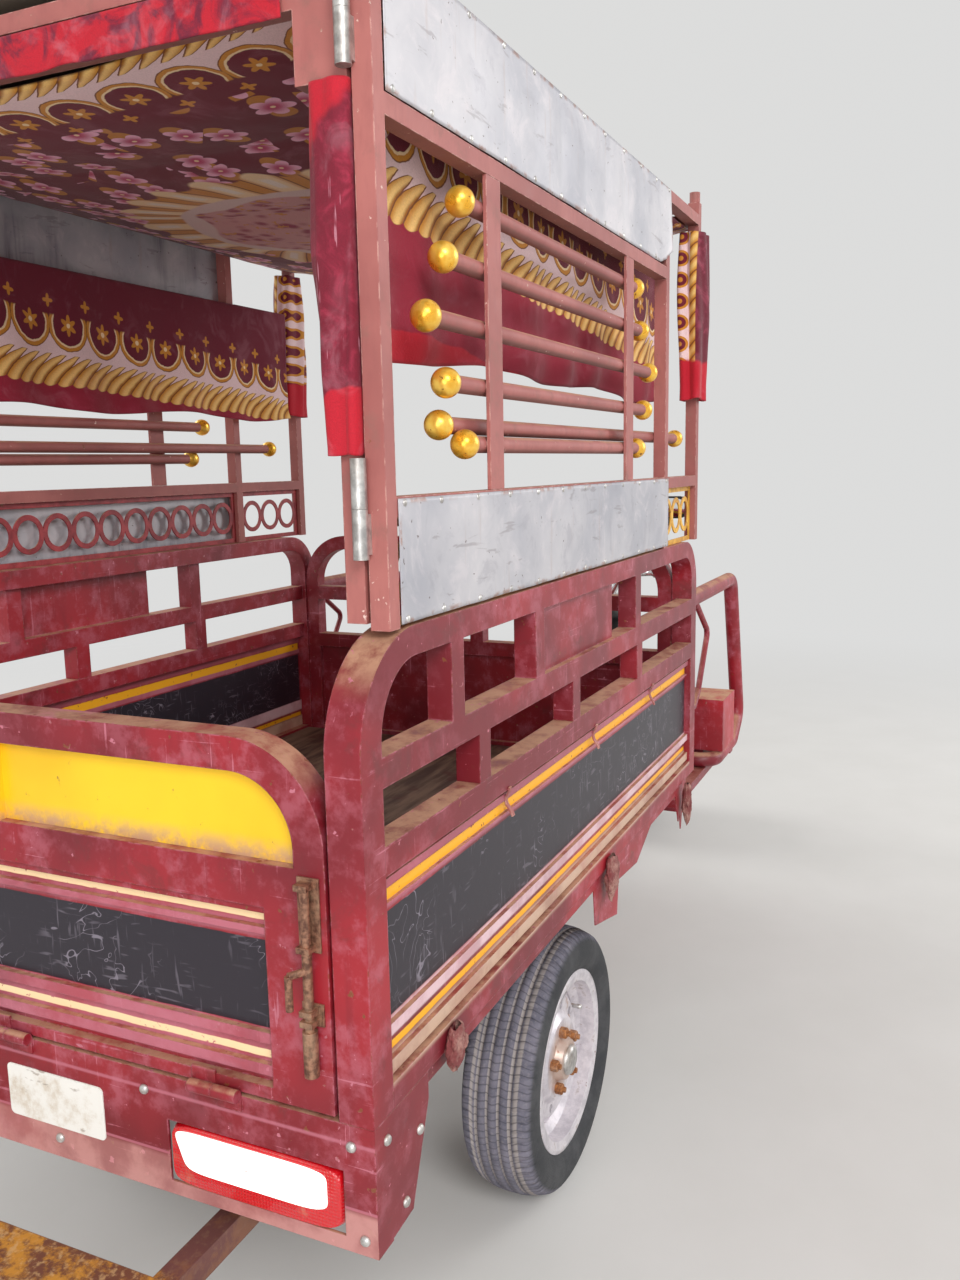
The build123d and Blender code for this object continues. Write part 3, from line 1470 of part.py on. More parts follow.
with BuildPart() as headlamp:
    with BuildSketch(Plane(origin=lamp_centre, x_dir=(1, 0, 0), z_dir=(0, -1, 0))):
        with BuildLine():
            Line((-headlamp_radius, 0), (headlamp_front, 0))
            Line((headlamp_front, 0), (headlamp_front, headlamp_radius - headlamp_rim))
            Line((headlamp_front, headlamp_radius - headlamp_rim),
                 (headlamp_front - 14.0, headlamp_radius))
            Line((headlamp_front - 14.0, headlamp_radius), (0, headlamp_radius))
            ThreePointArc((0, headlamp_radius),
                          (-headlamp_radius * sqrt(0.5), headlamp_radius * sqrt(0.5)),
                          (-headlamp_radius, 0))
        make_face()
    revolve(axis=Axis(lamp_centre, (1, 0, 0)))
    for side in (-1, 1):
        bar(lamp_centre + Vector(0, side * (headlamp_radius - 12.0), 0),
            lamp_centre + Vector(0, side * (bracket_y - bracket_sheet - seat_gap), 0), headlamp_boss)
save(headlamp, "headlamp")

lamp_plate_height = 36.0
lamp_plate_rear = 150.0
lamp_plate_front = 14.0
signal_back = 40.0
signal_y = 185.0
signal_radius = 25.0
signal_length = 44.0
signal_stalk = 7.0

# Lamp brackets clamped to the fork legs, with a turn signal on a stalk at each side
with BuildPart() as headlamp_bracket:
    stand = lamp_centre.X - rear_face_x
    for side in (-1, 1):
        leg_y = side * bracket_y
        with BuildSketch(side_plane(max(leg_y, leg_y - side * bracket_sheet))):
            rect(stand - lamp_plate_rear, stand + lamp_plate_front,
                 lamp_centre.Z - lamp_plate_height / 2, lamp_centre.Z + lamp_plate_height / 2)
        extrude(amount=bracket_sheet)
        signal = lamp_centre + Vector(-signal_back, side * signal_y, 0)
        bar(lamp_centre + Vector(-signal_back, leg_y - side, 0), signal, signal_stalk)
        bar(signal - Vector(signal_length / 2, 0, 0), signal + Vector(signal_length / 2, 0, 0),
            signal_radius)
save(headlamp_bracket, "headlamp_bracket")

guard_gap = 24.0
guard_sheet = 3.0
mudguard_half = 76.0
mudguard_start = 42.0
mudguard_sweep = 128.0
mudguard_stay_start = 100.0
mudguard_stay_sweep = 34.0
mudguard_stay_drop = 52.0
guard_inner = front_tyre_diameter / 2 + guard_gap

with BuildPart() as front_mudguard:
    with BuildSketch(side_plane(mudguard_half)):
        with BuildLine():
            centre = (front_axle_station, front_axle_height)
            outer_arc = CenterArc(centre, guard_inner + guard_sheet, mudguard_start, mudguard_sweep)
            inner_arc = CenterArc(centre, guard_inner, mudguard_start, mudguard_sweep)
            Line(outer_arc @ 0, inner_arc @ 0)
            Line(outer_arc @ 1, inner_arc @ 1)
        make_face()
    extrude(amount=2 * mudguard_half)
    for side in (-1, 1):
        y = side * (fork_half - slider_radius - seat_gap)
        with BuildSketch(side_plane(max(y, side * mudguard_half))):
            with BuildLine():
                high = CenterArc(centre, guard_inner + guard_sheet, mudguard_stay_start,
                                 mudguard_stay_sweep)
                low = CenterArc(centre, guard_inner - mudguard_stay_drop, mudguard_stay_start,
                                mudguard_stay_sweep)
                Line(high @ 0, low @ 0)
                Line(high @ 1, low @ 1)
            make_face()
        extrude(amount=abs(y - side * mudguard_half))
save(front_mudguard, "front_mudguard")

mirror_stem = 5.0
mirror_height = 190.0
mirror_lean = 60.0
mirror_y = 275.0
mirror_back = 133.0
mirror_stand = 1.6
mirror_width = 120.0
mirror_depth = 76.0
mirror_thickness = 16.0

with BuildPart() as mirrors:
    for side in (-1, 1):
        foot = clamp_point + Vector(-mirror_back, side * mirror_y, bar_rise + bar_radius + mirror_stand)
        top = foot + Vector(20.0, side * mirror_lean, mirror_height)
        bar(foot, top, mirror_stem)
        with BuildSketch(Plane(origin=top + Vector(6.0, 0, 26.0), x_dir=(0, 1, 0),
                               z_dir=(-1, 0, 0))):
            RectangleRounded(mirror_width, mirror_depth, 30.0)
        extrude(amount=mirror_thickness)
save(mirrors, "mirrors")
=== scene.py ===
import bpy
import json
from math import cos, pi, radians, sin
from mathutils import Matrix, Vector, noise


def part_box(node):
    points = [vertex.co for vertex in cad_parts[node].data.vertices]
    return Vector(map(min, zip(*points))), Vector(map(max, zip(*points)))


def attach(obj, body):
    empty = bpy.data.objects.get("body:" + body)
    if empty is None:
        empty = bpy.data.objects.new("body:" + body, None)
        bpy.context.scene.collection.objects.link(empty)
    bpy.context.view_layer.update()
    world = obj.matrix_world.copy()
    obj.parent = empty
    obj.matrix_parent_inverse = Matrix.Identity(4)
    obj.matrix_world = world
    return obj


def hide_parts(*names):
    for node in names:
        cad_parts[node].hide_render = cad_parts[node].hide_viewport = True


# Looks of the cargo motor tricycle: enamel, dust, stripes, cloth, tyres and small fittings.
# Metres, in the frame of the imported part: X forward, Y to the left, Z up.

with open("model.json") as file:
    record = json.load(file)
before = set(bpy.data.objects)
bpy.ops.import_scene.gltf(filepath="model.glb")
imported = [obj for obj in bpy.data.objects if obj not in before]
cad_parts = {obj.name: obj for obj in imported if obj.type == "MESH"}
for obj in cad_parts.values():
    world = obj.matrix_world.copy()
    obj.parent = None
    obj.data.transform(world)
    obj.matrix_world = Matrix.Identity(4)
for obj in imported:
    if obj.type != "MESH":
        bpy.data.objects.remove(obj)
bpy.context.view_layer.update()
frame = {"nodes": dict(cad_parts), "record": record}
nodes = frame["nodes"]

# Camera of the photograph
camera_place = (-2.678, -1.272, 1.503)
camera_yaw = radians(24.44)
camera_pitch = radians(-9.27)
camera_roll = radians(-1.09)
camera_lens = 30.14
sensor_width = 36.0

# Places taken from the frame
side_low, side_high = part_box("side_fence_right")
bar_low, bar_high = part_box("roof_bars")
rear_x = side_low.x
front_x = side_high.x
half_width = -side_low.y
bar_width = 0.040
bar_pitch = (bar_high.x - bar_low.x - bar_width) / 4

both_sides = (-1, 1)
full_turn = 2 * pi


def light(red, green, blue):
    """A colour given as it looks on a screen, 0 to 255, in Blender's linear values."""
    values = []
    for channel in (red, green, blue):
        share = channel / 255
        values.append(share / 12.92 if share <= 0.04045 else ((share + 0.055) / 1.055) ** 2.4)
    return tuple(values)


class Signal:
    """A socket of a surface's node tree. Arithmetic on it adds the nodes that do it."""

    def __init__(self, surface, socket):
        self.surface = surface
        self.socket = socket

    def __add__(self, other):
        return self.surface.math("ADD", self, other)

    def __sub__(self, other):
        return self.surface.math("SUBTRACT", self, other)

    def __mul__(self, other):
        return self.surface.math("MULTIPLY", self, other)

    def __truediv__(self, other):
        return self.surface.math("DIVIDE", self, other)

    def __abs__(self):
        return self.surface.math("ABSOLUTE", self)


class Surface:
    """A node material under construction. Its methods return signals to build on."""

    def __init__(self, name, roughness=0.5, metallic=0.0):
        self.material = bpy.data.materials.new(name)
        self.material.use_nodes = True
        self.tree = self.material.node_tree
        self.shader = self.tree.nodes["Principled BSDF"]
        self.shader.inputs["Roughness"].default_value = roughness
        self.shader.inputs["Metallic"].default_value = metallic
        coordinates = self.tree.nodes.new("ShaderNodeTexCoord")
        self.point = Signal(self, coordinates.outputs["Object"])
        self.x, self.y, self.z = self.split(self.point)
        self.facing = self.split(Signal(self, coordinates.outputs["Normal"]))

    def feed(self, socket, value):
        if isinstance(value, Signal):
            self.tree.links.new(value.socket, socket)
        elif socket.type == "RGBA":
            socket.default_value = (*value[:3], 1.0)
        else:
            socket.default_value = value

    def fed(self, node, *values):
        """Feeds a node's first inputs and returns its first output."""
        for socket, value in zip(node.inputs, values):
            self.feed(socket, value)
        return Signal(self, node.outputs[0])

    def split(self, vector):
        parts = self.tree.nodes.new("ShaderNodeSeparateXYZ")
        self.fed(parts, vector)
        return tuple(Signal(self, part) for part in parts.outputs)

    def join(self, x, y, z):
        return self.fed(self.tree.nodes.new("ShaderNodeCombineXYZ"), x, y, z)

    def math(self, operation, a, b=0.0, c=0.0):
        node = self.tree.nodes.new("ShaderNodeMath")
        node.operation = operation
        return self.fed(node, a, b, c)

    def vector(self, operation, a, b):
        node = self.tree.nodes.new("ShaderNodeVectorMath")
        node.operation = operation
        self.fed(node, a, b)
        return node

    def most(self, a, b):
        return self.math("MAXIMUM", a, b)

    def scaled(self, value, factor, start):
        """value times factor, plus start."""
        return self.math("MULTIPLY_ADD", value, factor, start)

    def length(self, a, b):
        return self.math("SQRT", a * a + b * b)

    def cosine(self, angle):
        return self.math("COSINE", angle)

    def sine(self, angle):
        return self.math("SINE", angle)

    def cycle(self, value, pitch):
        """Share of the way through each pitch, from -0.5 to 0.5."""
        return self.math("FRACT", value / pitch) - 0.5

    def step(self, value, low, high):
        """0 below low, 1 above high, smooth between; low may be the larger one."""
        node = self.tree.nodes.new("ShaderNodeMapRange")
        node.interpolation_type = "SMOOTHSTEP"
        return self.fed(node, value, low, high)

    def band(self, value, low, high, soft=0.0008):
        """1 between low and high."""
        return self.step(value, low - soft, low + soft) * self.step(value, high + soft, high - soft)

    def mix(self, amount, a, b):
        node = self.tree.nodes.new("ShaderNodeMix")
        node.data_type = "RGBA"
        for number, value in ((0, amount), (6, a), (7, b)):
            self.feed(node.inputs[number], value)
        return Signal(self, node.outputs[2])

    def layers(self, colour, *coats):
        """Coats of (colour, amount) laid over a colour, one after another."""
        for coat, amount in coats:
            colour = self.mix(amount, colour, coat)
        return colour

    def noise(self, scale, detail=4.0, roughness=0.6, stretch=(1, 1, 1), twist=0.0):
        node = self.tree.nodes.new("ShaderNodeTexNoise")
        scaled = self.vector("MULTIPLY", self.point, stretch)
        self.feed(node.inputs["Vector"], Signal(self, scaled.outputs[0]))
        node.inputs["Scale"].default_value = scale
        node.inputs["Detail"].default_value = detail
        node.inputs["Roughness"].default_value = roughness
        node.inputs["Distortion"].default_value = twist
        return Signal(self, node.outputs[0])

    def cells(self, output, scale, at, feature="F1", spread=1.0):
        node = self.tree.nodes.new("ShaderNodeTexVoronoi")
        node.feature = feature
        self.feed(node.inputs["Vector"], at)
        node.inputs["Scale"].default_value = scale
        node.inputs["Randomness"].default_value = spread
        return Signal(self, node.outputs[output])

    def rounded(self, radius):
        """The normal with edges rounded."""
        bevel = self.tree.nodes.new("ShaderNodeBevel")
        bevel.samples = 4
        bevel.inputs["Radius"].default_value = radius
        return Signal(self, bevel.outputs[0])

    def edge(self, radius=0.004):
        """1 along worn edges, from how far a rounded normal leaves the face's own."""
        geometry = self.tree.nodes.new("ShaderNodeNewGeometry")
        plain = Signal(self, geometry.outputs["True Normal"])
        dot = self.vector("DOT_PRODUCT", self.rounded(radius), plain)
        return self.step(Signal(self, dot.outputs["Value"]), 0.985, 0.9)

    def finish(self, colour, roughness=None, height=None, strength=0.3, distance=0.001,
               rounding=0.0):
        self.feed(self.shader.inputs["Base Color"], colour)
        if roughness is not None:
            self.feed(self.shader.inputs["Roughness"], roughness)
        normal = self.rounded(rounding) if rounding else None
        if height is not None:
            bump = self.tree.nodes.new("ShaderNodeBump")
            bump.inputs["Strength"].default_value = strength
            bump.inputs["Distance"].default_value = distance
            self.feed(bump.inputs["Height"], height)
            if normal is not None:
                self.feed(bump.inputs["Normal"], normal)
            normal = Signal(self, bump.outputs[0])
        if normal is not None:
            self.feed(self.shader.inputs["Normal"], normal)
        return self.material


# Colours as they look under plain light
maroon = light(162, 32, 44)
deep_maroon = light(116, 24, 36)
mauve = light(192, 112, 128)
dust_tan = light(196, 152, 120)
rust = light(128, 70, 40)
dark_rust = light(78, 42, 30)
salmon = light(150, 84, 80)
pale_salmon = light(176, 106, 100)
# painted shade for the undersides of the canopy's tubes
underside_shade = light(96, 68, 58)
black_band = light(38, 32, 42)
band_grey = light(132, 124, 136)
stripe_yellow = light(252, 180, 26)
stripe_cream = light(252, 220, 172)
panel_yellow = light(252, 206, 34)
rib_pink = light(228, 194, 200)
ledge_dust = light(208, 176, 152)
zinc_pale = light(196, 193, 196)
zinc_dark = light(160, 160, 168)
burgundy = light(108, 14, 40)
fur_maroon = light(146, 22, 48)
velvet_red = light(190, 20, 42)
blanket_pink = light(236, 206, 208)
blanket_cream = light(240, 214, 170)
blanket_gold = light(204, 136, 42)
blanket_brown = light(124, 68, 20)


def worn_enamel(name, paint=maroon, dark=deep_maroon, marks=None, dust=1.0):
    """Old enamel on steel: faded tone, dust on what looks up, chips, scratches and rust."""
    s = Surface(name)
    wide = s.noise(2.6, detail=3.0)
    middle = s.noise(19.0, detail=6.0, roughness=0.7)
    fine = s.noise(120.0, detail=3.0)
    streaks = s.noise(9.0, detail=5.0, stretch=(4.0, 4.0, 0.5))
    soot = s.noise(11.0, detail=7.0, roughness=0.7, twist=0.5)
    dusty = s.step(s.facing[2], 0.45, 0.85) * s.step(middle, 0.26, 0.6) * dust
    scratch_a = s.noise(34.0, detail=2.0, stretch=(0.12, 0.12, 5.0), twist=0.6)
    scratch_b = s.noise(30.0, detail=2.0, stretch=(5.0, 5.0, 0.15), twist=0.8)
    scratches = s.most(s.step(scratch_a, 0.68, 0.70), s.step(scratch_b, 0.685, 0.705))
    edges = s.edge() * s.step(s.noise(42.0, detail=5.0), 0.42, 0.58)
    chips = s.step(s.noise(64.0, roughness=0.55), 0.67, 0.685)
    rusty = s.step(s.noise(7.0, detail=8.0, roughness=0.75), 0.66, 0.76) * 0.75
    colour = s.layers(
        s.mix(s.step(wide, 0.35, 0.68), dark, paint),
        (dark, s.step(streaks, 0.5, 0.75) * 0.4),
        (mauve, s.step(middle, 0.46, 0.66) * s.step(wide, 0.28, 0.55) * 0.42),
        (light(96, 44, 44), s.step(soot, 0.54, 0.68) * 0.45),
        (dust_tan, dusty * 0.8),
        (mauve, scratches * s.step(middle, 0.42, 0.6) * 0.8),
        (s.mix(s.step(fine, 0.45, 0.6), mauve, rust), edges * 0.85),
        (s.mix(s.step(middle, 0.45, 0.55), rust, mauve), chips),
        (s.mix(fine, dark_rust, rust), rusty))
    if marks is not None:
        colour = marks(s, colour)
    rough = s.scaled(s.most(dusty, rusty), 0.4, 0.42)
    height = middle * 0.6 - chips * 0.5
    return s.finish(colour, rough, height, strength=0.35, distance=0.0012, rounding=0.0025)


def side_marks(s, colour):
    """Stripes and the black band on the outer face of a bed side, by height above the ground."""
    outer = s.step(abs(s.facing[1]), 0.6, 0.9)
    outer = outer * s.step(abs(s.y), half_width - 0.025, half_width - 0.022)
    painted = outer * s.band(s.x, rear_x + 0.058, rear_x + 1.690, 0.002)
    height = s.z + s.noise(26.0, detail=3.0) * 0.003
    patchy = s.scaled(s.step(s.noise(8.0, detail=6.0), 0.4, 0.6), 0.35, 0.6)
    stripes = s.most(s.band(height, 0.949, 0.969), s.band(height, 0.741, 0.752))
    return s.layers(
        colour,
        (mauve, outer * s.band(s.z, 0.970, 0.990, 0.003) * 0.5),
        (mauve, outer * s.band(s.z, 0.936, 0.949, 0.002) * patchy),
        (rib_pink, outer * s.band(s.z, 0.757, 0.787, 0.003) * patchy),
        (ledge_dust, outer * s.band(s.z, 0.703, 0.738, 0.006) * patchy),
        (scratched_black(s), painted * s.band(height, 0.789, 0.934)),
        (stripe_yellow, painted * stripes * worn_off(s)))


def gate_marks(s, colour):
    """Stripes and the black band on the rear face of the tailgate, by height above the ground."""
    rear = s.step(s.facing[0], -0.5, -0.85) * s.step(abs(s.y), 0.473, 0.470)
    height = s.z + s.noise(24.0, detail=3.0) * 0.003
    patchy = s.scaled(s.step(s.noise(9.0, detail=6.0), 0.4, 0.6), 0.4, 0.4)
    stripes = s.most(s.band(height, 0.924, 0.937), s.band(height, 0.729, 0.740))
    return s.layers(
        colour,
        (mauve, rear * s.band(s.z, 0.700, 0.770, 0.006) * patchy),
        (mauve, rear * s.band(s.z, 0.898, 0.922, 0.003) * patchy),
        (scratched_black(s), rear * s.band(height, 0.772, 0.896)),
        (stripe_cream, rear * stripes * worn_off(s)))


def beam_marks(s, colour):
    """Dusty lower third of the rear beam and faint lines pressed along it."""
    rear = s.step(s.facing[0], -0.5, -0.85)
    patchy = s.scaled(s.step(s.noise(10.0, detail=6.0), 0.38, 0.6), 0.4, 0.4)
    lines = s.most(s.band(s.z, 0.640, 0.645, 0.002), s.band(s.z, 0.548, 0.552, 0.001))
    return s.layers(
        colour,
        (light(206, 148, 142), rear * s.step(s.z, 0.552, 0.540) * patchy),
        (mauve, rear * lines * 0.7))


def scratched_black(s):
    """Black film with a faint weave of scratches."""
    level = s.noise(150.0, detail=1.0, stretch=(0.15, 0.15, 1.0))
    upright = s.noise(150.0, detail=1.0, stretch=(1.0, 1.0, 0.12))
    weave = s.most(s.step(level, 0.62, 0.72), s.step(upright, 0.62, 0.72))
    patches = s.step(s.noise(9.0), 0.42, 0.62)
    lines = s.step(abs(s.noise(14.0, detail=1.0, twist=2.4) - 0.5), 0.012, 0.004)
    marks = s.most(weave * patches * 0.4, lines * s.step(s.noise(6.0), 0.5, 0.58) * 0.85)
    return s.mix(marks, black_band, band_grey)


def worn_off(s):
    """Where paint of a stripe still holds."""
    return s.step(s.noise(46.0, detail=6.0, roughness=0.7), 0.66, 0.6)


def salmon_paint():
    """Sun-bleached paint of the canopy's tubes, with painted shade on their undersides."""
    s = Surface("canopy_paint", roughness=0.62)
    wide = s.noise(3.5)
    grain = s.noise(60.0, detail=5.0, stretch=(1.0, 1.0, 0.3))
    middle = s.noise(17.0, detail=7.0, roughness=0.7)
    rusty = s.noise(9.0, detail=8.0, roughness=0.75)
    colour = s.layers(
        s.mix(s.step(wide, 0.32, 0.7), salmon, pale_salmon),
        (light(146, 82, 80), s.step(grain, 0.45, 0.75) * 0.4),
        (light(142, 96, 88), s.step(middle, 0.52, 0.70) * 0.65),
        # downward faces darkened: painted shade on the tubes' undersides
        (underside_shade, s.step(s.facing[2], -0.4, -0.8) * 0.5),
        (dust_tan, s.step(s.facing[2], 0.5, 0.9) * s.step(middle, 0.3, 0.55) * 0.7),
        (light(232, 190, 178), s.edge(0.003) * s.step(s.noise(50.0, detail=5.0), 0.45, 0.6) * 0.7),
        (s.mix(s.step(middle, 0.4, 0.6), light(226, 196, 186), rust), s.step(s.noise(72.0), 0.685, 0.7)),
        (rust, s.step(rusty, 0.66, 0.75) * 0.7))
    return s.finish(colour, s.scaled(middle, 0.3, 0.45), middle, distance=0.0012, rounding=0.002)


def galvanised():
    """Grey-white sheet with smudges, scuffs, specks and rust runs; painted shade, streaked, darkens its
    inner face.
    """
    s = Surface("galvanised", metallic=0.15)
    wide = s.noise(3.0, detail=5.0)
    smudges_and_rim_shadow = s.noise(11.0, detail=7.0, roughness=0.7, twist=0.8)
    scuffs = s.noise(24.0, stretch=(0.3, 0.3, 1.6), twist=0.5)
    runs = s.noise(16.0, detail=6.0, stretch=(3.0, 3.0, 0.25))
    inner_face_shade = s.step(abs(s.y), half_width + 0.0012, half_width + 0.0004)
    colour = s.layers(
        s.mix(s.step(wide, 0.3, 0.7), zinc_dark, zinc_pale),
        (light(218, 210, 212), s.step(smudges_and_rim_shadow, 0.50, 0.68) * 0.4),
        (light(146, 143, 152), s.step(smudges_and_rim_shadow, 0.46, 0.34) * 0.4),
        (light(128, 118, 122), s.step(scuffs, 0.63, 0.67) * 0.45),
        (light(168, 146, 136), s.step(runs, 0.60, 0.72) * 0.35),
        # painted shade on the sheet's inner face, streaked by the runs
        (light(70, 68, 82), inner_face_shade * s.scaled(s.step(runs, 0.4, 0.7), 0.5, 0.35)),
        (light(84, 66, 58), s.step(s.noise(90.0, detail=2.0), 0.72, 0.74) * 0.8),
        (light(150, 100, 76), s.edge(0.006) * s.step(s.noise(30.0, detail=5.0), 0.5, 0.62) * 0.6))
    return s.finish(colour, s.scaled(smudges_and_rim_shadow, 0.35, 0.3), smudges_and_rim_shadow, strength=0.2, distance=0.002)


def ring_paint():
    """Fretwork rings: golden on the right side, dull maroon on the left."""
    s = Surface("ring_paint")
    middle = s.noise(30.0, detail=6.0, roughness=0.7)
    worn = s.step(middle, 0.35, 0.65)
    gold = s.mix(worn, light(196, 138, 40), light(240, 186, 66))
    red = s.mix(worn, light(126, 34, 42), light(170, 62, 66))
    colour = s.layers(
        s.mix(s.step(s.y, -0.1, 0.1), gold, red),
        (dust_tan, s.step(s.facing[2], 0.4, 0.9) * s.step(middle, 0.3, 0.5) * 0.8),
        (rust, s.step(s.noise(80.0), 0.66, 0.68)))
    return s.finish(colour, None, middle, strength=0.25, rounding=0.0015)


def gold_balls():
    s = Surface("ball_brass", roughness=0.28, metallic=0.55)
    patches = s.noise(40.0, detail=5.0)
    colour = s.mix(s.step(patches, 0.4, 0.65), light(238, 176, 52), light(250, 206, 92))
    colour = s.mix(s.step(s.noise(120.0, detail=3.0), 0.66, 0.7), colour, light(150, 92, 40))
    return s.finish(colour, s.scaled(patches, 0.3, 0.15), patches, strength=0.15)


def plain_metal(name, low, high, roughness, metallic, dirt, dirty, grain=60.0):
    """Bare, cast or plated metal with grain, dirt and dust on top."""
    s = Surface(name, roughness=roughness, metallic=metallic)
    middle = s.noise(14.0, detail=6.0, roughness=0.7)
    small = s.noise(grain, detail=5.0)
    colour = s.layers(
        s.mix(s.step(small, 0.35, 0.65), low, high),
        (dirt, s.step(middle, 0.45, 0.65) * dirty),
        (dust_tan, s.step(s.facing[2], 0.5, 0.9) * s.step(middle, 0.35, 0.6) * dirty),
        (high, s.edge(0.002) * 0.5))
    rough = s.scaled(middle, 0.35, max(0.05, roughness - 0.17))
    return s.finish(colour, rough, small, rounding=0.0015)


def round_axle(s, centre):
    """Radius from a wheel's axle and the angle about it."""
    across = s.x - centre.x
    upward = s.z - centre.z
    return s.length(across, upward), s.math("ARCTAN2", upward, across)


def tyre_rubber(name, centre, outer, half):
    """Road tyre: dusty lilac-grey tread with sipes, darker side with moulded rings."""
    s = Surface(name, roughness=0.85)
    sipes_round = 110
    radius, angle = round_axle(s, centre)
    off = abs(s.y - centre.y)
    middle = s.noise(16.0, detail=6.0, roughness=0.7)
    fine = s.noise(160.0)
    side = s.step(radius, outer - 0.014, outer - 0.026)
    groove = s.step(radius, outer - 0.0035, outer - 0.0055) * s.step(off, half * 0.66, half * 0.62)
    zigzag = s.math("PINGPONG", off * 60.0, 1.0)
    turn = s.scaled(zigzag, 0.28, angle * (sipes_round / full_turn))
    sipe = s.step(abs(s.math("FRACT", turn) - 0.5), 0.10, 0.06)
    sipe = sipe * s.step(radius, outer - 0.024, outer - 0.018)
    colour = s.layers(
        s.mix(s.step(middle, 0.3, 0.7), light(88, 87, 100), light(122, 118, 130)),
        (light(156, 148, 150), s.step(fine, 0.5, 0.7) * 0.3),
        (light(176, 166, 160), groove * 0.75),
        (light(60, 58, 66), sipe * 0.5),
        (s.mix(s.step(middle, 0.35, 0.7), light(50, 51, 54), light(74, 74, 76)), side))
    rings = s.step(abs(s.sine(radius * 700.0)), 0.95, 1.0)
    rings = rings * side * s.band(radius, outer * 0.70, outer * 0.90, 0.004)
    height = fine * 0.4 + rings - sipe * 1.6
    return s.finish(colour, None, height, strength=0.5, distance=0.0012)


def rim_paint(name, centre):
    """Smooth silver paint; rust on the dished disc and round its dome, a smudge on the lip, a painted
    shadow near the lip's top.
    """
    s = Surface(name, roughness=0.4, metallic=0.3)
    radius, angle = round_axle(s, centre)
    middle = s.noise(26.0, detail=7.0, roughness=0.7)
    near_hub = s.step(radius + middle * 0.04, 0.100, 0.066)
    ring = s.band(radius, 0.092, 0.128, 0.006) * s.step(s.noise(9.0), 0.52, 0.62)
    lip = s.step(radius, 0.150, 0.156) * s.step(middle, 0.56, 0.66)
    # dark patch near the top of the lip: painted shadow
    smudges_and_rim_shadow = s.step(abs(angle - 1.8), 0.16, 0.05) * s.band(radius, 0.140, 0.166, 0.006)
    colour = s.layers(
        s.mix(s.step(middle, 0.35, 0.65), light(196, 190, 196), light(228, 222, 226)),
        (s.mix(middle, light(206, 168, 130), light(150, 96, 52)), near_hub * 0.6),
        (s.mix(middle, light(186, 128, 66), light(130, 84, 42)), ring * 0.9),
        (light(150, 132, 124), lip * 0.6),
        # near-black painted shadow at the top of the lip
        (light(54, 50, 52), smudges_and_rim_shadow * 0.9),
        (rust, s.step(s.noise(55.0, detail=5.0), 0.67, 0.70) * 0.7))
    rough = s.scaled(middle, 0.35, 0.2)
    return s.finish(colour, rough, middle, strength=0.2, distance=0.0008, rounding=0.002)


def yellow_sheet():
    """Smooth yellow panel with faded and scuffed patches."""
    s = Surface("yellow_paint", roughness=0.38)
    wide = s.noise(3.0, detail=3.0)
    middle = s.noise(24.0, detail=7.0, roughness=0.7)
    scuffs = s.noise(44.0, detail=7.0, roughness=0.75)
    colour = s.layers(
        s.mix(s.step(wide, 0.3, 0.7), light(240, 184, 22), panel_yellow),
        (dust_tan, s.step(s.z, 1.04, 1.008) * s.step(middle, 0.3, 0.6)),
        (light(150, 110, 60), s.step(scuffs, 0.65, 0.69) * 0.8))
    return s.finish(colour, None, middle, strength=0.12)


def step_paint():
    s = Surface("step_paint", roughness=0.6)
    middle = s.noise(15.0, detail=8.0, roughness=0.75)
    fine = s.noise(90.0)
    colour = s.layers(
        s.mix(s.step(middle, 0.42, 0.56), light(200, 140, 48), light(112, 66, 46)),
        (light(210, 172, 120), s.step(fine, 0.5, 0.66) * 0.6),
        (light(120, 78, 62), s.edge() * 0.8),
        (light(104, 62, 60), s.step(s.x, rear_x - 0.09, rear_x - 0.07) * 0.85))
    return s.finish(colour, None, middle, strength=0.5, distance=0.002, rounding=0.002)


def plush(s, colour, painted_sheen_amount=1.0):
    """Ends a cloth material: fine pile, soft sheen, pale patches of painted sheen."""
    pile = s.noise(420.0, detail=3.0, roughness=0.7)
    painted_sheen_crush = s.noise(14.0, twist=1.0)
    colour = s.layers(
        colour,
        ((0.03, 0.005, 0.01), s.step(pile, 0.3, 0.75) * 0.18),
        # pale pink patches: painted sheen on the pile
        ((0.9, 0.5, 0.6), s.step(painted_sheen_crush, 0.5, 0.75) * (0.08 * painted_sheen_amount)))
    s.shader.inputs["Sheen Weight"].default_value = 0.12
    s.shader.inputs["Sheen Roughness"].default_value = 0.4
    return s.finish(colour, None, pile + painted_sheen_crush * 0.6, strength=0.5, distance=0.0015)


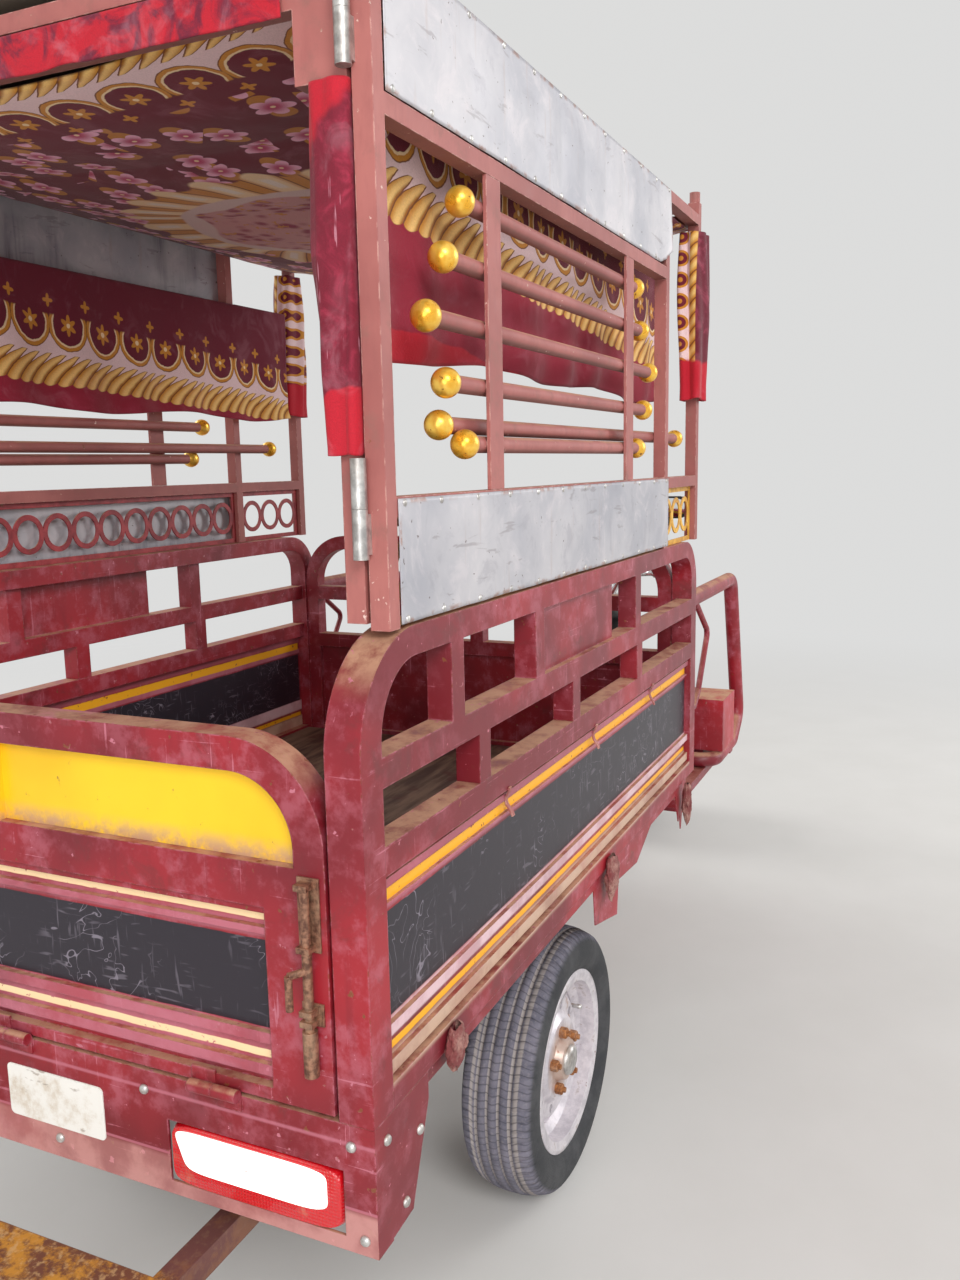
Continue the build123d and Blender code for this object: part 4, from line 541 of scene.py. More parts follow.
def border(s, along, outward, leaf_start=0.072, leaf_end=0.130, plain_end=0.205):
    """The blanket's border: scallops with gold stars, a pale band, slanted leaves, a red hem.

    outward is the distance from the line of the scallops' centres, towards the hem.
    """
    lobe_pitch = 0.107
    leaf_pitch = 0.037
    turn = s.cycle(along, lobe_pitch)
    sideways = turn * lobe_pitch
    ragged = (s.noise(60.0, detail=3.0) - 0.5) * 0.006
    reach = s.length(sideways, outward) + ragged
    outer_half = s.step(outward, -0.022, -0.016)
    star = s.scaled(s.cosine(s.math("ARCTAN2", sideways, outward) * 6.0), 0.0055, 0.0165)
    between = (abs(turn) - 0.5) * lobe_pitch
    inward = outward + 0.048
    small = s.scaled(s.cosine(s.math("ARCTAN2", between, inward) * 4.0), 0.004, 0.010)
    place = (outward - (leaf_start + leaf_end) / 2) / ((leaf_end - leaf_start) / 2)
    slant = along - place * place * 0.010 + outward * 1.15
    bulge = s.cycle(slant + ragged, leaf_pitch)
    side = abs(bulge)
    tone = s.mix(s.step(bulge, -0.45, 0.10), blanket_gold, light(244, 200, 122))
    tone = s.mix(s.step(bulge, 0.15, 0.42), tone, light(168, 104, 30))
    tip = s.most(place * -1.0, 0.0)
    width = s.scaled(tip * tip, -0.30, 0.44)
    end = s.scaled(side * side, -0.8, 1.04)
    in_band = s.step(place, -1.10, -1.02) * s.step(place - end, 0.03, -0.03)
    hem = s.step(outward + s.noise(5.0) * 0.03, plain_end + 0.014, plain_end + 0.018)
    return s.layers(
        burgundy,
        (blanket_pink, s.step(outward, -0.002, 0.002)),
        (blanket_brown, s.step(reach, 0.0560, 0.0545) * outer_half),
        (blanket_gold, s.step(reach, 0.0540, 0.0525) * outer_half),
        (blanket_cream, s.step(reach, 0.0470, 0.0455) * outer_half),
        (burgundy, s.step(reach, 0.0430, 0.0415)),
        (blanket_gold, s.step(reach - star, 0.002, -0.001)),
        (blanket_cream, s.step(reach, 0.006, 0.004)),
        (blanket_gold, s.step(s.length(between, inward) - small, 0.001, -0.001)),
        (fur_maroon, s.step(place, 0.58, 0.64)),
        (blanket_brown, in_band * s.step(side - width, 0.11, 0.08)),
        (tone, in_band * s.step(side - width, 0.03, -0.01)),
        (velvet_red, hem))


def flowers(s, flat):
    """Five-petal flowers and gold leaves strewn over the ground; flat is the place seen from above."""
    seeds = s.cells("Position", 9.5, at=flat, spread=0.85)
    place = s.vector("SUBTRACT", flat, seeds)
    dx, dy, _ = s.split(Signal(s, place.outputs[0]))
    reach = s.length(dx, dy)
    angle = s.math("ARCTAN2", dy, dx)
    petal_edge = s.scaled(abs(s.cosine(angle * 2.5)), 0.016, 0.020)
    leaf_edge = s.scaled(s.cosine(angle * 2.0), 0.026, 0.026)
    petal = s.mix(s.step(reach, 0.006, 0.030), light(190, 60, 104), light(240, 182, 208))
    return s.layers(
        burgundy,
        (blanket_gold, s.step(reach - leaf_edge, 0.002, -0.001) * 0.85),
        (petal, s.step(reach - petal_edge, 0.001, -0.001)),
        (blanket_cream, s.step(reach, 0.005, 0.0035)))


def ceiling_cloth():
    """The blanket under the roof: border at both ends, strewn flowers, one round medallion."""
    s = Surface("blanket_ceiling", roughness=0.9)
    medallion_x = rear_x + 1.10
    medallion_reach = 0.50
    flat = s.join(s.x, s.y, 0.0)
    lengthways = s.x - medallion_x
    angle = s.math("ARCTAN2", s.y, lengthways)
    share = s.length(lengthways, s.y) / medallion_reach
    curl = s.cosine(angle * 26.0 + share * 9.0)
    fringe = s.scaled(curl, 0.035, 0.96)
    scroll = s.layers(
        s.mix(s.step(curl, -0.6, 0.5), blanket_gold, blanket_cream),
        (blanket_brown, s.step(abs(curl + 0.45), 0.16, 0.06)),
        (light(238, 226, 214), s.step(curl, 0.7, 0.9) * s.band(share, 0.80, 0.92, 0.02)))
    roses = s.cells("Distance", 24.0, at=flat)
    rose = s.mix(s.step(roses, 0.55, 0.15), light(206, 150, 150), light(150, 34, 74))
    rose = s.mix(s.step(s.noise(34.0), 0.58, 0.64), rose, blanket_gold)
    inner = s.scaled(s.cosine(angle * 8.0), 0.03, 0.66)
    rear = s.scaled(s.x, -1.0, rear_x + 0.222)
    front = s.x - (rear_x + 1.655)
    return plush(s, s.layers(
        flowers(s, flat),
        (scroll, s.step(share - fringe, 0.012, -0.008)),
        (light(220, 196, 192), s.step(share, 0.76, 0.74)),
        (rose, s.step(share - inner, 0.01, -0.01)),
        (border(s, s.y, rear), s.step(rear, -0.062, -0.060)),
        (border(s, s.y, front), s.step(front, -0.062, -0.060))))


def valance_cloth(name, line):
    """The blanket's long border where it hangs down inside a canopy side."""
    s = Surface(name, roughness=0.9)
    drop = (s.x - (rear_x + 0.25)) * -0.075 + line - s.z
    corner = s.math("SUBTRACT", rear_x + 0.272, s.x)
    upright = s.step(corner - drop, -0.001, 0.001)
    along = s.x + upright * (s.z - s.x)
    sway = s.scaled(s.noise(3.0, detail=2.0), 0.030, -0.015)
    outward = s.most(drop, corner) + sway
    colour = border(s, along, outward, 0.066, 0.132, 0.265)
    worn = s.step(s.noise(7.0, detail=6.0, twist=1.0), 0.5, 0.7) * 0.22
    return plush(s, s.mix(worn * s.step(outward, 0.14, 0.16), colour, light(206, 80, 108)))


def drape_cloth():
    """The blanket's corner: figured column inside, dark fur roll outside with painted sheen on it,
    bright red foot.
    """
    s = Surface("blanket_drape", roughness=0.9)
    leaf_pitch = 0.034
    ring_pitch = 0.052
    figured = s.math("SUBTRACT", half_width + 0.006, abs(s.y))
    leaf = abs(s.cycle(s.z + figured * 0.9, leaf_pitch))
    tone = s.mix(s.step(leaf, 0.05, 0.42), light(232, 190, 112), blanket_gold)
    tone = s.mix(s.step(leaf, 0.40, 0.47), tone, blanket_brown)
    leaves = s.step(figured, -0.001, 0.001)
    turn = s.cycle(s.z, ring_pitch)
    deep = figured - 0.040
    reach = s.math("SQRT", turn * turn * (ring_pitch * ring_pitch) + deep * deep)
    rings = s.layers(
        s.mix(s.step(reach, 0.0205, 0.0195), blanket_pink, blanket_gold),
        (burgundy, s.step(reach, 0.0150, 0.0140)),
        (blanket_gold, s.step(reach, 0.007, 0.005)))
    painted_sheen_crush = s.noise(16.0, detail=5.0, twist=1.5)
    fur_sheen = s.math("SUBTRACT", 1.0, leaves) * s.step(painted_sheen_crush, 0.5, 0.7)
    return plush(s, s.layers(
        s.mix(leaves, light(104, 20, 40), tone),
        (rings, s.step(figured, 0.017, 0.019)),
        # pale patches on the dark fur roll: painted sheen
        (light(190, 84, 108), fur_sheen * 0.4),
        (velvet_red, s.step(s.z + s.noise(6.0) * 0.05, 1.785, 1.775))))


def header_velvet():
    s = Surface("header_velvet", roughness=0.85)
    crush = s.noise(16.0, detail=5.0, twist=1.6)
    # plush adds pale patches of painted sheen, doubled here
    return plush(s, s.mix(s.step(crush, 0.42, 0.62), velvet_red, light(112, 20, 48)), painted_sheen_amount=2.0)


def curtain_cloth():
    """Bright red at top and foot, crushed maroon velvet between, with pale streaks of painted sheen."""
    s = Surface("curtain_velvet", roughness=0.85)
    crush = s.noise(20.0, detail=6.0, twist=1.8)
    height = s.z + (s.noise(7.0, detail=3.0) - 0.5) * 0.16
    maroon_part = s.step(height, 1.605, 1.615) * s.step(height + s.y * 1.2, 1.245, 1.225)
    crushed_with_sheen = s.mix(s.step(crush, 0.46, 0.76), light(120, 14, 40), light(160, 40, 66))
    # pale vertical streaks: painted sheen on the velvet
    threads_and_sheen_streaks = s.step(s.noise(40.0, detail=2.0, stretch=(3.0, 3.0, 0.3)), 0.66, 0.70)
    crushed_with_sheen = s.mix(threads_and_sheen_streaks * 0.5, crushed_with_sheen, light(226, 160, 176))
    return plush(s, s.mix(maroon_part, velvet_red, crushed_with_sheen), painted_sheen_amount=1.5)


def canvas():
    """Grey roof canvas, dusty, with a woven grain."""
    s = Surface("roof_canvas", roughness=0.9)
    threads_and_sheen_streaks = 3100.0
    middle = s.noise(9.0, detail=7.0, roughness=0.7)
    colour = s.mix(s.step(middle, 0.30, 0.70), light(112, 107, 98), light(134, 127, 114))
    colour = s.mix(s.step(s.noise(3.0), 0.45, 0.8) * 0.35, colour, dust_tan)
    weave = s.sine(s.x * threads_and_sheen_streaks) * s.sine(s.y * threads_and_sheen_streaks) * 0.3
    return s.finish(colour, None, weave + middle)


def seat_cover():
    s = Surface("seat_leather", roughness=0.48)
    grain = s.cells("Distance", 900.0, at=s.point, feature="DISTANCE_TO_EDGE")
    middle = s.noise(16.0, detail=6.0)
    dusty = s.step(s.facing[2], 0.5, 0.95) * s.step(middle, 0.42, 0.7) * 0.3
    colour = s.mix(s.step(middle, 0.35, 0.7), light(36, 34, 35), light(50, 47, 46))
    colour = s.mix(dusty, colour, light(120, 104, 88))
    return s.finish(colour, s.scaled(middle, 0.35, 0.3), grain, strength=0.25, distance=0.0008)


def lens(name, colour, glow=0.0):
    s = Surface(name, roughness=0.12)
    rib_turns = 620.0
    ribs = abs(s.sine(s.y * rib_turns)) + abs(s.sine(s.z * rib_turns))
    tone = s.mix(s.step(s.noise(18.0, detail=6.0), 0.55, 0.7) * 0.4, colour, dust_tan)
    s.shader.inputs["Coat Weight"].default_value = 0.6
    if glow:
        s.shader.inputs["Emission Color"].default_value = (1.0, 0.95, 0.9, 1.0)
        s.shader.inputs["Emission Strength"].default_value = glow
    return s.finish(tone, None, ribs, strength=0.4, distance=0.0015)


def plate_paint():
    """Blank white number plate, dusty and scratched."""
    s = Surface("plate_paint", roughness=0.45)
    middle = s.noise(20.0, detail=7.0, roughness=0.7)
    fine = s.noise(90.0, detail=3.0, stretch=(1.0, 0.3, 1.0))
    colour = s.mix(s.step(middle, 0.46, 0.74), light(238, 236, 230), light(204, 190, 170))
    colour = s.mix(s.step(fine, 0.6, 0.68) * 0.6, colour, light(140, 120, 104))
    return s.finish(colour, None, middle)


def black_plastic():
    s = Surface("black_plastic", roughness=0.42)
    middle = s.noise(30.0, detail=5.0)
    grain = s.noise(700.0, detail=2.0)
    colour = s.mix(s.step(middle, 0.4, 0.7), light(30, 30, 32), light(64, 60, 56))
    dusty = s.step(s.facing[2], 0.4, 0.9) * s.step(middle, 0.4, 0.6) * 0.5
    return s.finish(s.mix(dusty, colour, dust_tan), None, grain, strength=0.2, distance=0.0005)


def floor_paint():
    """Floor sheet: worn to brown dusty steel."""
    s = Surface("floor_paint", roughness=0.7)
    middle = s.noise(8.0, detail=8.0, roughness=0.7)
    streaks = s.noise(12.0, detail=6.0, stretch=(0.35, 2.5, 1.0))
    colour = s.mix(s.step(streaks, 0.35, 0.65), light(84, 62, 52), light(140, 116, 96))
    colour = s.mix(s.step(middle, 0.5, 0.65) * 0.7, colour, light(92, 40, 38))
    return s.finish(colour, None, middle, strength=0.4, distance=0.002)


def rag_surface():
    s = Surface("rag_cloth", roughness=0.9)
    middle = s.noise(18.0, detail=6.0, roughness=0.7)
    fine = s.noise(260.0, detail=3.0)
    colour = s.mix(s.step(middle, 0.4, 0.66), light(122, 58, 58), light(178, 138, 126))
    colour = s.mix(s.step(fine, 0.5, 0.7) * 0.4, colour, light(88, 42, 42))
    return s.finish(colour, None, middle + fine * 0.4, strength=0.6, distance=0.002)


def mirror_silver():
    s = Surface("mirror_silver", roughness=0.04, metallic=1.0)
    dirt = s.noise(20.0, detail=6.0)
    colour = s.mix(s.step(dirt, 0.55, 0.75), light(232, 234, 236), light(190, 184, 178))
    return s.finish(colour, s.scaled(dirt, 0.12, 0.0))


materials = {
    "bed_paint": worn_enamel("bed_paint"),
    "canopy_paint": salmon_paint(),
    "galvanised": galvanised(),
    "ball_brass": gold_balls(),
    "lamp_lens": lens("lamp_red", light(206, 16, 28)),
    "yellow_paint": yellow_sheet(),
    "step_paint": step_paint(),
    "roof_canvas": canvas(),
    "seat_leather": seat_cover(),
    "plate_paint": plate_paint(),
    "mirror_plastic": black_plastic(),
    "floor_paint": floor_paint(),
}
metals = (
    # name, dark and pale tone, roughness, metallic, dirt, share of dirt, scale of grain
    ("chassis_paint", light(38, 34, 34), light(64, 56, 52), 0.65, 0.1, dust_tan, 0.6),
    ("axle_iron", light(62, 52, 46), light(96, 80, 68), 0.7, 0.4, rust, 0.6),
    ("engine_alloy", light(128, 126, 122), light(170, 168, 162), 0.5, 0.6, light(60, 50, 42), 0.55),
    ("exhaust_steel", light(120, 82, 54), light(160, 130, 104), 0.6, 0.5, rust, 0.8),
    ("nut_iron", light(120, 70, 38), light(176, 116, 66), 0.6, 0.3, light(206, 176, 150), 0.5, 140.0),
    ("latch_iron", light(96, 62, 50), light(166, 122, 98), 0.4, 0.5, light(190, 160, 130), 0.4, 120.0),
    ("steel_plate", light(168, 166, 164), light(214, 212, 208), 0.4, 0.75, light(120, 100, 84), 0.4),
    ("bar_chrome", light(196, 196, 198), light(226, 226, 228), 0.22, 0.95, light(120, 100, 84), 0.25),
)
for row in metals:
    materials[row[0]] = plain_metal(*row)
front_enamel = worn_enamel("front_enamel", dust=0.4)
side_enamel = worn_enamel("side_enamel", marks=side_marks)
special = {
    "fuel_tank": front_enamel, "front_mudguard": front_enamel, "footboards": front_enamel,
    "seat_box": front_enamel, "bed_side_right": side_enamel, "bed_side_left": side_enamel,
    "tailgate_frame": worn_enamel("gate_enamel", marks=gate_marks),
    "rear_beam": worn_enamel("beam_enamel", marks=beam_marks),
    "side_boxes": worn_enamel("box_enamel", light(184, 34, 44), light(140, 28, 38), dust=1.2),
    "tailgate_latches": materials["latch_iron"],
    "ring_screens": ring_paint(),
}
slots = {row["node"]: row["material_slot"] for row in frame["record"]["subparts"]}

for name, node in nodes.items():
    material = special.get(name) or materials.get(slots[name])
    if name.startswith("rim_"):
        low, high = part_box(name)
        material = rim_paint(f"paint_{name}", (low + high) / 2)
    if material is not None:
        node.data.materials.clear()
        node.data.materials.append(material)


# Meshes

def new_piece(name, shape, material, body, smooth=True):
    """A mesh piece from a shape, which is its points and faces, riding on a body."""
    vertices, faces = shape
    mesh = bpy.data.meshes.new(name)
    mesh.from_pydata(vertices, [], faces)
    mesh.validate()
    mesh.polygons.foreach_set("use_smooth", [smooth] * len(mesh.polygons))
    mesh.materials.append(material)
    piece = bpy.data.objects.new(name, mesh)
    bpy.context.scene.collection.objects.link(piece)
    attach(piece, body)
    return piece


def quads(rows, wide, around=False, ring=False):
    """Faces between rows of points, with wide points in a row.

    around joins the last row to the first, ring the last point of a row to its first.
    """
    faces = []
    for row in range(rows):
        here = row * wide
        after = (row + 1) % rows * wide if around else here + wide
        for j in range(wide if ring else wide - 1):
            k = (j + 1) % wide
            faces.append((here + j, here + k, after + k, after + j))
    return faces


def grid(rows, columns, point, closed=False):
    """The shape of a grid; point takes shares from 0 to 1. closed joins the last row."""
    vertices = []
    for i in range(rows if closed else rows + 1):
        for j in range(columns + 1):
            vertices.append(point(i / rows, j / columns))
    return vertices, quads(rows, columns + 1, closed)


def thick_piece(name, shape, material, body, thickness):
    """A piece whose surface gets a thickness, half of it to each side."""
    piece = new_piece(name, shape, material, body)
    solid = piece.modifiers.new("thickness", "SOLIDIFY")
    solid.thickness = thickness
    solid.offset = 0.0
    return piece


def ripple(x, y, z, seed=0.0):
    """Smooth noise from -1 to 1 at a point."""
    return noise.noise(Vector((x, y, z + seed * 7.31)))


def turned(profile, count, centre, axis="Y", way=1):
    """The shape of a profile of (along, radius) turned about an axis; way -1 points it backward."""
    vertices = []
    for i in range(count):
        angle = full_turn * i / count
        for along, radius in profile:
            a, b = radius * cos(angle), radius * sin(angle)
            offset = (a, way * along, b) if axis == "Y" else (way * along, a, b)
            vertices.append(tuple(c + d for c, d in zip(centre, offset)))
    return vertices, quads(count, len(profile), around=True)


def joined(shapes):
    """Several shapes as one."""
    vertices = []
    faces = []
    for points, polygons in shapes:
        start = len(vertices)
        vertices.extend(points)
        faces.extend(tuple(index + start for index in polygon) for polygon in polygons)
    return vertices, faces


def round_square(angle, power):
    """Sine and cosine of an angle, pushed out to a square with round corners."""
    across, ahead = sin(angle), cos(angle)
    square = (abs(across) ** power + abs(ahead) ** power) ** (1 / power)
    return across / square, ahead / square


# Tyres with worn road tread

def tyre(name, node, body, blocks):
    """A tyre with grooves round it and sipes across its shoulders; returns the wheel's centre."""
    low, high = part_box(node)
    centre = (low + high) / 2
    outer = (high.z - low.z) / 2
    half = (high.y - low.y) / 2
    rear_tyre = half > 0.07
    bead = outer * (0.615 if rear_tyre else 0.548)
    bead_half = half - (0.0205 if rear_tyre else 0.018)
    tread = half * 0.76
    edge_drop = 0.010
    low_side = bead + 0.016
    profile = [(-bead_half, bead), (-bead_half - 0.004, bead + 0.006), (-bead_half - 0.003, low_side)]
    sides = 14
    side_height = outer - edge_drop - low_side
    for i in range(1, sides + 1):
        share = i / sides
        swell = sin(pi * share ** 0.9) ** 0.8 if share < 1 else 0.0
        lean = (bead_half + 0.003) * (1 - share ** 3) + tread * share ** 3
        width = lean + (half - lean) * swell
        profile.append((-width, low_side + side_height * (1 - (1 - share) ** 1.25)))
    half_profile = list(profile)
    groove_wide = 0.0030
    groove_deep = 0.0055
    for place in (-0.44, -0.15, 0.15, 0.44):
        middle = place * half
        for offset, deep in ((-groove_wide - 0.001, 0.0), (-groove_wide, groove_deep),
                             (groove_wide, groove_deep), (groove_wide + 0.001, 0.0)):
            crown = outer - edge_drop * abs((middle + offset) / tread) ** 2.6
            profile.append((middle + offset, crown - deep))
    profile.extend((-y, radius) for y, radius in reversed(half_profile))
    vertices = []
    cut_start, cut_end = 0.46, 0.54
    cut_deep = 0.0028
    shares = (0.0, 0.40, cut_start, cut_end, 0.60)
    for block in range(blocks):
        for share in shares:
            angle = full_turn * (block + share) / blocks
            cut = cut_start <= share <= cut_end
            for y, radius in profile:
                shoulder = half * 0.55 < abs(y) and radius > outer - 0.024
                worn = 0.0005 * ripple(3 * cos(angle), 3 * sin(angle), y * 30, 4.0)
                depth = cut_deep if cut and shoulder else 0.0
                r = min(radius - depth + worn, outer)
                vertices.append((centre.x + r * cos(angle), centre.y + y, centre.z + r * sin(angle)))
    shape = vertices, quads(blocks * len(shares), len(profile), around=True)
    rubber = tyre_rubber(f"rubber_{name}", centre, outer, half)
    piece = new_piece(name, shape, rubber, body)
    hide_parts(node)
    return centre


def hex_nut(centre, outward, size, depth):
    """The shape of a six-sided nut with a round stud in it, facing along Y."""
    sides = 6
    layers = ((size, 0.0), (size, depth * 0.85), (size * 0.86, depth), (size * 0.5, depth),
              (size * 0.5, depth * 1.35), (0.0001, depth * 1.4))
    points = []
    for radius, along in layers:
        for corner in range(sides):
            angle = corner * full_turn / sides
            points.append((centre[0] + radius * cos(angle), centre[1] + outward * along,
                           centre[2] + radius * sin(angle)))
    return points, quads(len(layers) - 1, sides, ring=True)


def wheel_fittings(name, centre, body, outward, dome_y, boss_y, boss_reach):
    """Five rusty wheel nuts on their studs, a hub cap and a tyre valve on one wheel."""
    nut_count = 5
    nut_circle = 0.060
    nuts = []
    for number in range(nut_count):
        angle = full_turn * (number + 0.3) / nut_count
        place = (centre.x + nut_circle * cos(angle), dome_y - outward * 0.0005,
                 centre.z + nut_circle * sin(angle))
        nuts.append(hex_nut(place, outward, size=0.0115, depth=0.016))
    new_piece(f"nuts_{name}", joined(nuts), materials["nut_iron"], body, smooth=False)
    rounds = ((-0.002, 1.0), (0.004, 1.0), (0.006, 0.94), (0.009, 0.90), (0.0115, 0.72),
              (0.0125, 0.40), (0.0128, 0.01))
    cap = [(along, boss_reach * share) for along, share in rounds]
    valve = ((0.0, 0.0042), (0.014, 0.0042), (0.015, 0.0050), (0.024, 0.0050), (0.025, 0.0005))
    valve_place = (centre.x + 0.112, dome_y - outward * 0.018, centre.z + 0.060)
    shape = joined([turned(cap, 40, (centre.x, boss_y, centre.z), way=outward),
                    turned(valve, 12, valve_place, way=outward)])
    new_piece(f"cap_{name}", shape, materials["steel_plate"], body)


wheels = (
    # piece, node, body, side, tread blocks, dome and boss faces from the wheel's middle, cap radius
    ("tyre_right", "rear_right", "rear_wheel_right", -1, 76, 0.0433, 0.0593, 0.031),
    ("tyre_left", "rear_left", "rear_wheel_left", 1, 76, 0.0433, 0.0593, 0.031),
    ("tyre_steered", "front", "front_wheel", -1, 70, 0.0333, 0.0493, 0.024),
)
for piece_name, node_name, body, outward, blocks, dome, boss, cap_radius in wheels:
    centre = tyre(piece_name, f"tyre_{node_name}", body, blocks)
    wheel_fittings(node_name, centre, body, outward, centre.y + outward * dome,
                   centre.y + outward * boss, cap_radius)


# Cloth

plush_thickness = 0.004


def between_bars(x):
    """0 under a roof bar, 1 halfway between two."""
    share = (x - bar_low.x - bar_width / 2) / bar_pitch
    return abs(sin(pi * share))


def ceiling():
    """The blanket stretched under the roof, hanging a little in the middle and between the bars."""
    low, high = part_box("ceiling_blanket")
    half = high.y
    edge_drop = 0.006
    middle_drop = 0.045
    bay_drop = 0.012

    def point(u, v):
        x = low.x + (high.x - low.x) * u
        y = half * (2 * v - 1)
        arch = high.z - edge_drop - middle_drop * (1 - (y / half) ** 2)
        dip = bay_drop * between_bars(x) * (1 - (y / half) ** 4)
        fold = 0.0035 * ripple(x * 5, y * 7, 0.0, 1.0) + 0.0016 * ripple(x * 19, y * 23, 0.0, 2.0)
        return (x, y, arch - dip + fold)

    piece = thick_piece("blanket_ceiling", grid(150, 110, point), ceiling_cloth(), "root",
                        plush_thickness)
    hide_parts("ceiling_blanket")


def valance(name, side, hang, top, line, foot, lap):
    """A border hanging in a canopy side; lap is how far it is folded over the rail there."""
    low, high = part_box("valances")
    length = high.x - low.x
    lap_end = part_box("upper_sheets")[1].x - 0.034
    turn_over = 0.12
    roll_start = 0.88
    corner_reach = 0.16
    corner_drop = 0.03

    def point(u, v):
        x = low.x + length * u
        bottom = foot + 0.016 * ripple(x * 2.2, side * 3.0, 0.0, 3.0) + 0.008 * sin(x * 11.0)
        bottom -= corner_drop * max(0.0, 1 - (x - low.x) / corner_reach) ** 2
        sway = v ** 1.3
        fold = 0.007 * sway * sin(x * 34.0 + 3.0 * ripple(x * 2, 0, 0, 5.0))
        fold += 0.006 * sway * ripple(x * 9, v * 3, side, 6.0)
        roll = -0.010 * max(0.0, (v - roll_start) / 0.12) ** 2
        if lap and v < turn_over:
            over = lap if x < lap_end else max(0.003, lap - (x - lap_end) * 3)
            share = v / turn_over
            return (x, side * (hang + over * (1 - share)), top - 0.001 * share)
        share = (v - turn_over) / (1 - turn_over) if lap else v
        return (x, side * (hang + fold + roll), top + (bottom - top) * share)

    material = valance_cloth(f"blanket_{name}", line)
    piece = thick_piece(name, grid(260, 60, point), material, "root", plush_thickness)
    return piece


def drape(name, side, material):
    """The blanket's front corner, gathered in folds round the canopy's front post."""
    low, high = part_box("front_drape")
    post_x = front_x - 0.013
    post_y = half_width - 0.014
    post_reach = 0.022
    ahead_reach, behind_reach = 0.050, 0.068
    inner = post_y - (high.y - 0.084)

    def point(u, v):
        angle = full_turn * u
        across, ahead = sin(angle), cos(angle)
        square_across, square_ahead = round_square(angle, 4)
        z = high.z - 0.004 - (high.z - low.z - 0.006) * v
        full = 0.82 + 0.18 * sin(pi * min(1.0, v * 1.1)) + 0.10 * max(0.0, v - 0.75)
        wave = 0.5 + 0.5 * sin(angle * 6 + 1.6 * ripple(0, z * 4, side, 8.0) + v * 2)
        wave = 0.65 * wave + 0.35 * (0.5 + 0.5 * ripple(across * 2, ahead * 2, z * 9, 9.0))
        reach = full * (1 - 0.30 * wave)
        out_x = (ahead_reach if ahead > 0 else behind_reach) * reach
        out_y = (high.y - post_y - 0.004 if across > 0 else inner - 0.003) * reach
        y = post_y + max(-inner, square_across * max(out_y, post_reach))
        x = post_x + square_ahead * max(out_x, post_reach)
        slip = 0.008 * ripple(u * 5, 0, side, 11.0) * max(0.0, v - 0.9) * 10
        return (x, side * y, z + slip)

    shape = grid(120, 90, point, closed=True)
    piece = thick_piece(name, shape, material, "root", plush_thickness)
    return piece


def curtain():
    """Red cloth wound round the portal's stile."""
    low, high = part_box("corner_curtain")
    stile_x = rear_x + 0.097
    stile_y = -half_width + 0.048
    tight = 0.0152
    lengthways_reach, outer_reach = 0.0265, 0.0162

    def point(u, v):
        angle = full_turn * u
        across, ahead = sin(angle), cos(angle)
        square_across, square_ahead = round_square(angle, 5)
        z = high.z - (high.z - low.z) * v
        belly = 0.72 + 0.34 * sin(pi * min(1.0, 0.12 + 0.9 * v)) - 0.25 * max(0.0, v - 0.8)
        wave = 0.5 + 0.5 * sin(angle * 5 + 2.6 * ripple(0, 0, z * 3, 2.0) + v * 5)
        wave = 0.5 * wave + 0.5 * (0.5 + 0.5 * ripple(across * 2.5, ahead * 2.5, z * 11, 7.0))
        reach = belly * (1 - 0.34 * wave)
        out_x = lengthways_reach * (1 - 0.22 * wave)
        out_y = (high.y - stile_y) * reach if across > 0 else outer_reach
        x = stile_x + square_ahead * max(out_x, tight)
        y = stile_y + square_across * max(out_y, tight + 0.001)
        slip = 0.008 * ripple(u * 5, 0, 0, 11.0) * (max(0.0, v - 0.93) / 0.07)
        return (x, y, z + slip)

    shape = grid(120, 150, point, closed=True)
    piece = thick_piece("curtain_red", shape, curtain_cloth(), "rear_portal", 0.002)
    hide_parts("corner_curtain")


def header():
    """Red cloth stretched over the portal's header, its foot rough with tape."""
    low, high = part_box("header_cloth")

    def point(u, v):
        y = low.y + (high.y - low.y) * u
        foot = low.z + 0.004 + 0.004 * ripple(y * 14, 0, 0, 3.0)
        z = high.z + (foot - high.z) * v
        x = (low.x + high.x) / 2 - 0.0015 + 0.0026 * ripple(y * 6, z * 20, 0, 4.0)
        x -= 0.0012 * sin(y * 90.0 + z * 30.0) * v
        return (x, y, z)

    shape = grid(200, 16, point)
    piece = thick_piece("header_red", shape, header_velvet(), "rear_portal", 0.003)
    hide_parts("header_cloth")


def roof():
    """Canvas over the roof bars, dipping a little between them."""
    low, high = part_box("roof_cover")
    half = high.y
    bay_drop = 0.007

    def point(u, v):
        x = low.x + (high.x - low.x) * u
        y = half * (2 * v - 1)
        crown = low.z + 0.004 + (high.z - low.z - 0.006) * (1 - (y / half) ** 2)
        dip = bay_drop * between_bars(x) * (1 - (y / half) ** 2)
        fold = 0.0012 * ripple(x * 8, y * 8, 0, 1.0)
        return (x, y, max(low.z + 0.002, crown - dip + fold))

    shape = grid(140, 90, point)
    piece = thick_piece("canvas_roof", shape, materials["roof_canvas"], "root", 0.003)
    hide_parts("roof_cover")


ceiling()
valance_low, valance_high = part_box("valances")
right_valance = valance("valance_right", -1, hang=-valance_low.y - 0.006, top=valance_high.z + 0.004,
                        line=1.957, foot=1.652, lap=0.0)
valance("valance_left", 1, hang=valance_high.y - 0.050, top=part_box("upper_sheets")[0].z + 0.008,
        line=1.868, foot=1.645, lap=0.044)
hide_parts("valances")
drape_material = drape_cloth()
right_drape = drape("drape_right", -1, drape_material)
drape("drape_left", 1, drape_material)
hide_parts("front_drape")
curtain()
header()
roof()


# Galvanised sheets, dented between their nails

